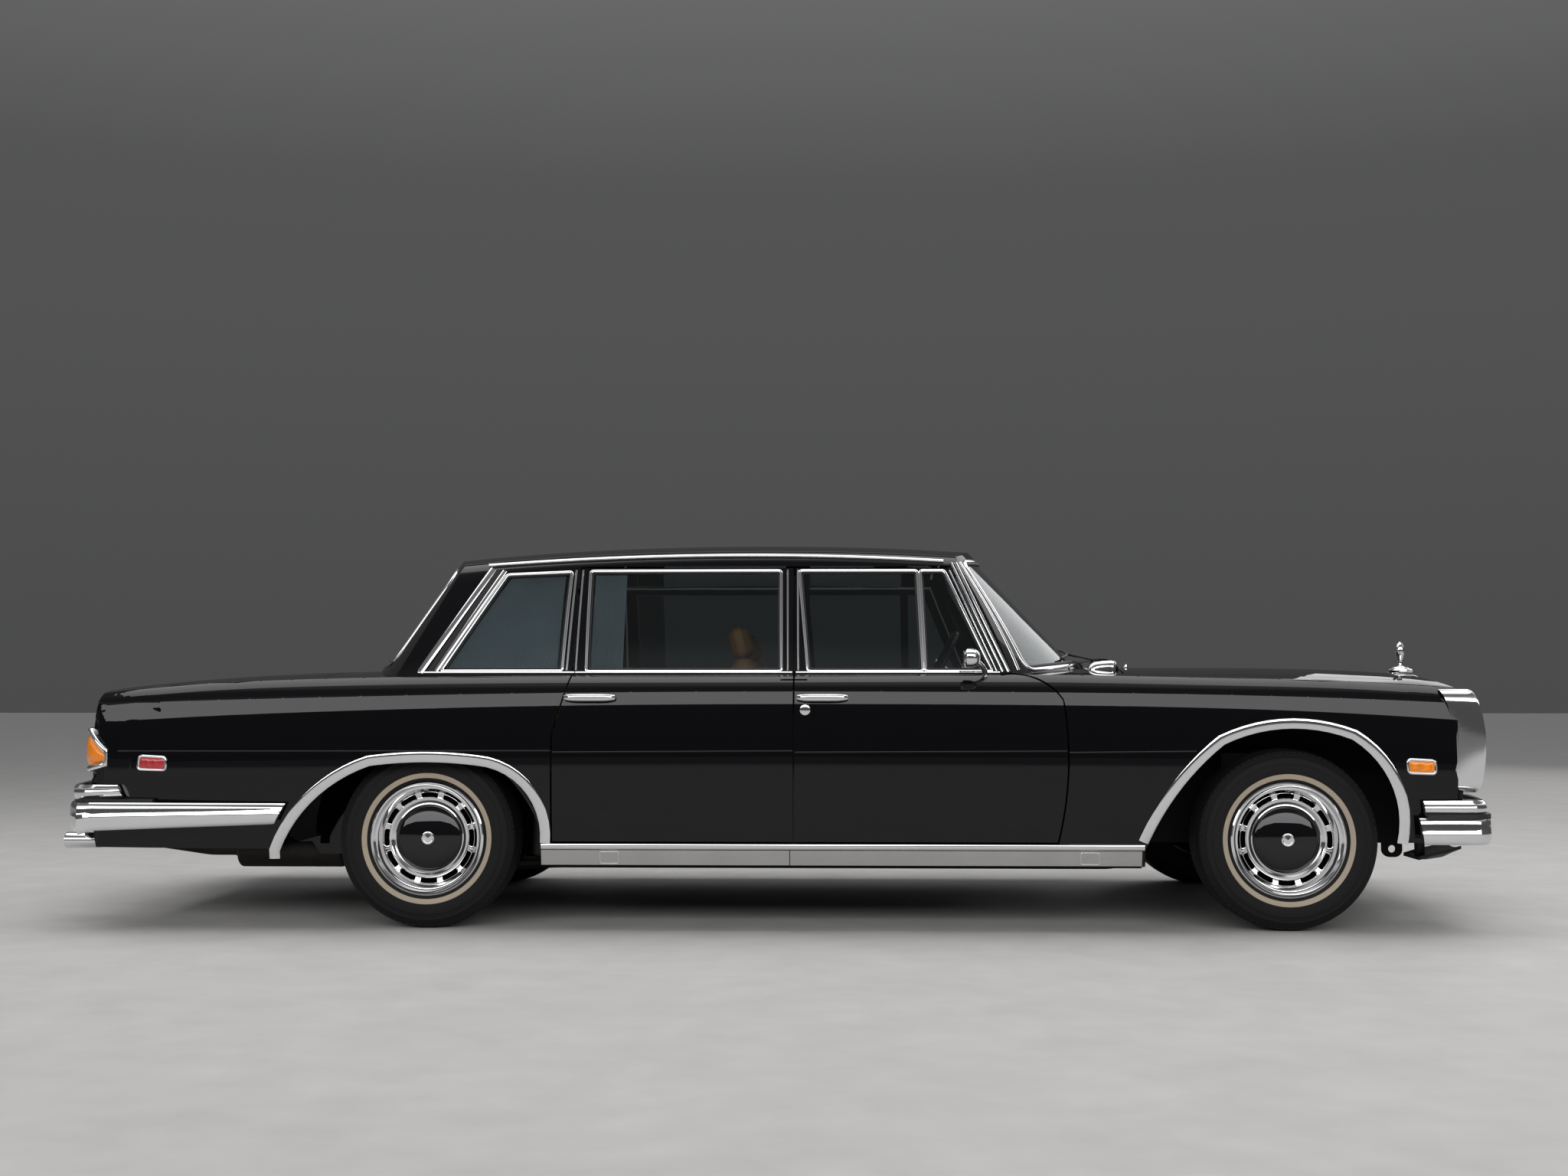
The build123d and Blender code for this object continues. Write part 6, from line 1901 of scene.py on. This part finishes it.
@dataclass
class Cabin:
    """Seats, facia, door trims, headlining, carpet and curtains."""
    seat_y: float = 0.42
    rail_half: float = 0.20
    wheel_centre: Triple = (0.693, 0.380, 0.958)
    wheel_tilt: float = 117.0
    horn_radius: float = 0.132
    facia_half: float = 0.79
    dial_x: float = 0.889
    dial_z: float = 0.838
    # Y and radius of the dials, and of all bright frames
    dials: tuple[Pair, ...] = ((0.47, 0.052), (0.345, 0.052), (0.24, 0.028))
    frames: tuple[Pair, ...] = ((0.47, 0.053), (0.345, 0.053), (0.24, 0.029), (-0.05, 0.022), (0.05, 0.022))
    card_y: float = -0.8465
    cards: tuple = (("front", 0.155, 1.03), ("rear", -0.70, 0.035))
    floor_z: float = 0.2425
    mat_spans: tuple[Pair, ...] = ((-0.83, -0.155), (0.155, 0.83))
    # Curtains: name, body, lower span, upper span, pleats
    curtain_rows: tuple = (("rear", "door_rear", (-0.674, -0.552), (-0.674, -0.552), 26),
                           ("quarter", "body", (-1.215, -0.80), (-0.995, -0.79), 54))
    curtain_low: float = 0.968
    curtain_rise: float = 0.362
    curtain_flat: float = 0.385
    pleat_depth: float = 0.0032

    def seats(self) -> None:
        """Two front seats with headrests and the rear bench with its armrest."""
        for label, side in SIDES:
            y = side * self.seat_y
            cushion("front_cushion_" + label, (0.28, y, 0.462), (0.56, 0.53, 0.125), channels=7,
                    replaces="front_seats")
            cushion("front_back_" + label, (-0.05, y, 0.745), (0.14, 0.52, 0.56), -14, 7, axis=0)
            cushion("front_headrest_" + label, (-0.128, y, 1.075), (0.085, 0.27, 0.13), -14, crown=0.012, axis=0,
                    edge=0.04)
        y, rail = self.seat_y, self.rail_half
        rails = [block((0.02, y + s * rail - 0.015, 0.247), (0.50, y + s * rail + 0.015, 0.272)) for s in (-1, 1)]
        base = merged(block((0.03, y - 0.225, 0.30), (0.47, y + 0.225, 0.405), 0.02, 3), *rails,
                      block((0.06, y - rail, 0.262), (0.44, y + rail, 0.31)))
        sided("front_seat_base", base, "dash_leather", drawn=1)
        posts = [block((-0.118, y + off - 0.005, 0.99), (-0.108, y + off + 0.005, 1.03), 0.002)
                 for off in (-0.06, 0.06)]
        sided("headrest_posts", merged(*posts), "chrome_plate", drawn=1)
        for index in range(3):
            cushion(f"rear_cushion_{index}", (-0.70, (index - 1) * 0.427, 0.468), (0.50, 0.424, 0.14), channels=5,
                    replaces="rear_seat" if index == 0 else "")
            cushion(f"rear_back_{index}", (-1.005, (index - 1) * 0.385, 0.705), (0.13, 0.382, 0.47), -16, 5,
                    0.016, 0)
        skirt = block((-0.93, -0.63, 0.245), (-0.475, 0.63, 0.405), 0.02, 3)
        shelf = block((-1.145, -0.60, 0.885), (-1.06, 0.60, 0.915), 0.008)
        piece("rear_seat_base", merged(skirt, shelf), "dash_leather")

    def facia(self) -> None:
        """Wood strip, dials and vents of the dashboard, and the wheel's horn ring."""
        keep("dashboard", "dash_leather")
        keep("steering_wheel", "wheel_rim_black")
        edge = arc((0.927, 0.905), (0.896, 0.88), (0.884, 0.855), 6)
        rows = np.array([[(x - 0.004, y, z) for x, z in edge]
                         for y in np.linspace(-self.facia_half, self.facia_half, 30)])
        piece("facia_wood", plate(rows, (0.004, 0, -0.001)), "walnut")
        dials = [turned_at([(0.0005, 0.0), (r * 0.9, 0.0), (r * 0.94, 0.008), (r, 0.008), (r, -0.02),
                            (0.0005, -0.02)], 36, (self.dial_x, y, self.dial_z), Facing.REAR)
                 for y, r in self.dials]
        piece("dials", merged(*dials), "hub_lacquer")
        frames = [turned_at([(r, -0.004), (r, 0.008), (r + 0.004, 0.009), (r + 0.006, 0.004),
                             (r + 0.006, -0.004)], 36, (self.dial_x - 0.001, y, self.dial_z), Facing.REAR)
                  for y, r in self.frames]
        piece("dial_frames", merged(*frames), "chrome_plate")
        tilt = np.array(Matrix.Rotation(math.radians(self.wheel_tilt), 3, "Y"))
        loop = at_height(ellipse(64, self.horn_radius, self.horn_radius), 0.004) @ tilt.T + self.wheel_centre
        ring = swept(loop, -tilt[:, 2], ellipse(8, 0.0035, 0.0035), True)
        piece("horn_ring", ring, "chrome_plate", "steering_wheel")

    def door_cards(self) -> None:
        """Leather door trims with armrests, pockets and wood cappings."""
        y = self.card_y
        for end, x0, x1 in self.cards:
            card = block((x0, y - 0.003, 0.372), (x1, y + 0.0028, 0.895), 0.002, 2)
            rest = block((x0 + 0.10, y + 0.002, 0.60), (x1 - 0.20, y + 0.052, 0.655), 0.02, 4)
            pocket = block((x0 + 0.08, y + 0.002, 0.40), (x1 - 0.12, y + 0.022, 0.50), 0.01, 3)
            cap = block((x0, y - 0.002, 0.898), (x1, y + 0.008, 0.925), 0.006, 3)
            pull = block((x0 + 0.16, y + 0.003, 0.70), (x0 + 0.27, y + 0.016, 0.715), 0.005, 3)
            for name, shape, finish in (("card", merged(card, rest, pocket), "tan_leather"),
                                        ("capping", cap, "walnut"), ("release", pull, "chrome_plate")):
                sided(f"door_{name}_{end}", shape, finish, "door_" + end)

    def lining(self) -> None:
        """Headlining and carpets."""
        xs, ys = np.linspace(-1.16, 0.66, 36), np.linspace(-0.60, 0.60, 25)
        points, _ = pinned("roof", [(x, y, 1.4) for y in ys for x in xs], 2, -0.038)
        piece("headlining", plate(points.reshape(len(ys), len(xs), 3), (0, 0, 0.003)), "headlining")
        z = self.floor_z
        mats = [block((-0.40, y0, z), (1.10, y1, z + 0.007), 0.003) for y0, y1 in self.mat_spans]
        tunnel = block((-0.42, -0.153, z), (1.10, 0.153, 0.414), 0.008)
        piece("carpet", merged(*mats, tunnel), "carpet")

    def curtains(self) -> None:
        """Pleated curtains beside the rear passengers."""
        for name, part, low, top, pleats in self.curtain_rows:
            s = np.linspace(0, 1, pleats * 6)
            wave = (np.sin(s * pleats * math.tau) * self.pleat_depth)[:, None]
            rows = []
            for t in np.linspace(0, 1, 12):
                x0, x1 = (a + (b - a) * t for a, b in zip(low, top))
                z = self.curtain_low + self.curtain_rise * t
                flat = np.stack([x0 + (x1 - x0) * s, np.full(len(s), z)], -1)
                base, up = side_path("cabin", flat, -0.021)
                rows.append(base + up * wave)
            rows = np.array(rows)
            for label, side in SIDES:
                points, faces = mirrored((rows.reshape(-1, 3), grid(rows)), -side)
                made = mesh_object(f"curtain_{name}_{label}", points, faces)
                dressed(made, "curtain_cloth", part if part == "body" else f"{part}_{label}")

    def build(self) -> None:
        """Makes the whole cabin."""
        self.seats()
        self.facia()
        self.door_cards()
        self.lining()
        self.curtains()


# Underside

@dataclass
class Underside:
    """Finishes of the floor, axles, engine and exhaust, with the bright tailpipe end."""
    nodes: tuple = (("floor_pan", "underseal"), ("inner_fenders", "underseal"), ("engine", "engine_alloy"),
                    ("exhaust", "exhaust_steel"), ("rear_axle", "chassis_black"), ("propshaft", "chassis_black"),
                    ("front_suspension", "chassis_black"), ("knuckle_left", "chassis_black"),
                    ("knuckle_right", "chassis_black"))
    pipe_end: Triple = (-2.7295, -0.6, 0.301)
    pipe_profile: tuple[Pair, ...] = ((0.0275, -0.10), (0.0300, -0.096), (0.0305, 0.0), (0.0320, 0.036),
                                      (0.0315, 0.040), (0.0270, 0.040), (0.0265, 0.03), (0.0275, 0.0))
    well: tuple[Pair, ...] = ((-2.50, 0.2975), (-2.498, 0.266), (-2.481, 0.254), (-2.250, 0.257),
                              (-2.158, 0.221), (-2.135, 0.217), (-2.125, 0.221), (-2.125, 0.2975))
    well_half: float = 0.40

    def build(self) -> None:
        """Dresses what stays, and makes the tailpipe's end and the well under the boot floor."""
        for node, finish in self.nodes:
            keep(node, finish)
        piece("tailpipe_end", turned_at(self.pipe_profile, 40, self.pipe_end, Facing.REAR), "chrome_plate")
        loops = [[(x, y, z) for x, z in self.well] for y in (-self.well_half, self.well_half)]
        piece("boot_well", lofted(loops, False), "underseal")


# Room, light and camera

@dataclass
class Studio:
    """Pale floor, soft light and the camera of the photograph."""
    focal_pixels: float = 2300.0
    image_width: float = 2048.0
    sensor: float = 36.0
    camera_place: Triple = (0.2466, -7.4823, 0.8901)
    yaw: float = 0.02884
    pitch: float = 0.05772
    floor_half: float = 60.0
    # Brightness of the sky from straight below, through the horizon at a half, to straight above
    sky: tuple[Pair, ...] = ((0.0, 0.07), (0.28, 0.09), (0.38, 0.14), (0.47, 0.45), (0.55, 0.36), (0.64, 0.16),
                             (0.82, 0.16), (1.0, 0.95))
    # Name, place, turn in degrees, width, depth and watts of each lamp; the paint reflects the long low key
    lamp_rows: tuple = (("overhead", (0, 0.5, 6.5), (0, 0, 0), 12.0, 5.0, 420.0),
                        ("key", (0, -13.0, 6.15), (68, 0, 0), 40.0, 4.4, 1950.0),
                        ("fill", (9.0, 10.0, 6.8), (68, 0, 138), 10.0, 8.0, 300.0))

    def world(self) -> None:
        """A soft sky with a grey band at the horizon, bright overhead."""
        world = bpy.data.worlds.new("Studio")
        bpy.context.scene.world = world
        world.use_nodes = True
        tree = world.node_tree
        place = added(tree, "ShaderNodeTexCoord").outputs["Generated"]
        split = added(tree, "ShaderNodeSeparateXYZ", {0: place})
        ramp = added(tree, "ShaderNodeValToRGB", {"Fac": split.outputs["Z"]})
        elements = ramp.color_ramp.elements
        while len(elements) < len(self.sky):
            elements.new(0.5)
        for element, (position, value) in zip(elements, self.sky):
            element.position = position
            element.color = (value, value * 1.005, value * 1.02, 1)
        tree.links.new(ramp.outputs["Color"], tree.nodes["Background"].inputs["Color"])

    def floor(self) -> None:
        """A plain pale floor."""
        mesh = bpy.data.meshes.new("floor")
        corners = rectangle(-self.floor_half, self.floor_half, -self.floor_half, self.floor_half)
        mesh.from_pydata([(x, y, 0) for x, y in corners], [], [(0, 1, 2, 3)])
        made = scene_object("floor", mesh)
        made.data.materials.append(Finish("floor", (0.46, 0.452, 0.444), "", scale=3, roughness=0.7).build())

    def lamps(self) -> None:
        """A broad lamp overhead, a long low one behind the camera and a soft fill at the front."""
        for name, place, turn, width, depth, power in self.lamp_rows:
            lamp = bpy.data.lights.new(name, "AREA")
            lamp.shape = "RECTANGLE"
            lamp.size, lamp.size_y, lamp.energy = width, depth, power
            made = scene_object(name, lamp)
            made.location = place
            made.rotation_euler = [math.radians(angle) for angle in turn]

    def camera(self) -> None:
        """Camera at the photograph's place, looking a little up and to the rear."""
        camera = bpy.data.cameras.new("camera")
        camera.sensor_fit = "HORIZONTAL"
        camera.sensor_width = self.sensor
        camera.lens = self.sensor * self.focal_pixels / self.image_width
        made = scene_object("camera", camera)
        forward = Vector((-math.sin(self.yaw), math.cos(self.yaw), math.tan(self.pitch)))
        made.location = self.camera_place
        made.rotation_euler = forward.to_track_quat("-Z", "Y").to_euler()
        bpy.context.scene.camera = made

    def build(self) -> None:
        """Makes the room."""
        self.world()
        self.floor()
        self.lamps()
        self.camera()
        bpy.context.scene.view_settings.view_transform = "Standard"


def main() -> None:
    """Builds the dressed car."""
    logging.basicConfig(level=logging.INFO, format="%(name)s: %(message)s")
    screens = [
        ScreenTrim("windscreen", "windscreen", 0.034, 0.808, 0.966, 1.0, 0.642, 1.383, 1.413, 1.2),
        ScreenTrim("rear_window", "rear_screen", 0.060, 0.702, 0.989, 1.001, 0.598, 1.353, 1.377, -1.5)]
    wheels = [Wheel(end, label, side) for end in ("front", "rear") for label, side in SIDES]
    for assembly in (Studio(), Bodywork(), SideTrim(), *screens, Bumpers(), Headlamps(), RearLamps(), Grille(),
                     Handles(), Scuttle(), Cabin(), Underside(), *wheels):
        assembly.build()
        LOG.info("%s done", type(assembly).__name__)
    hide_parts("body_trim")
    bpy.context.view_layer.update()


if __name__ == "__main__":
    main()
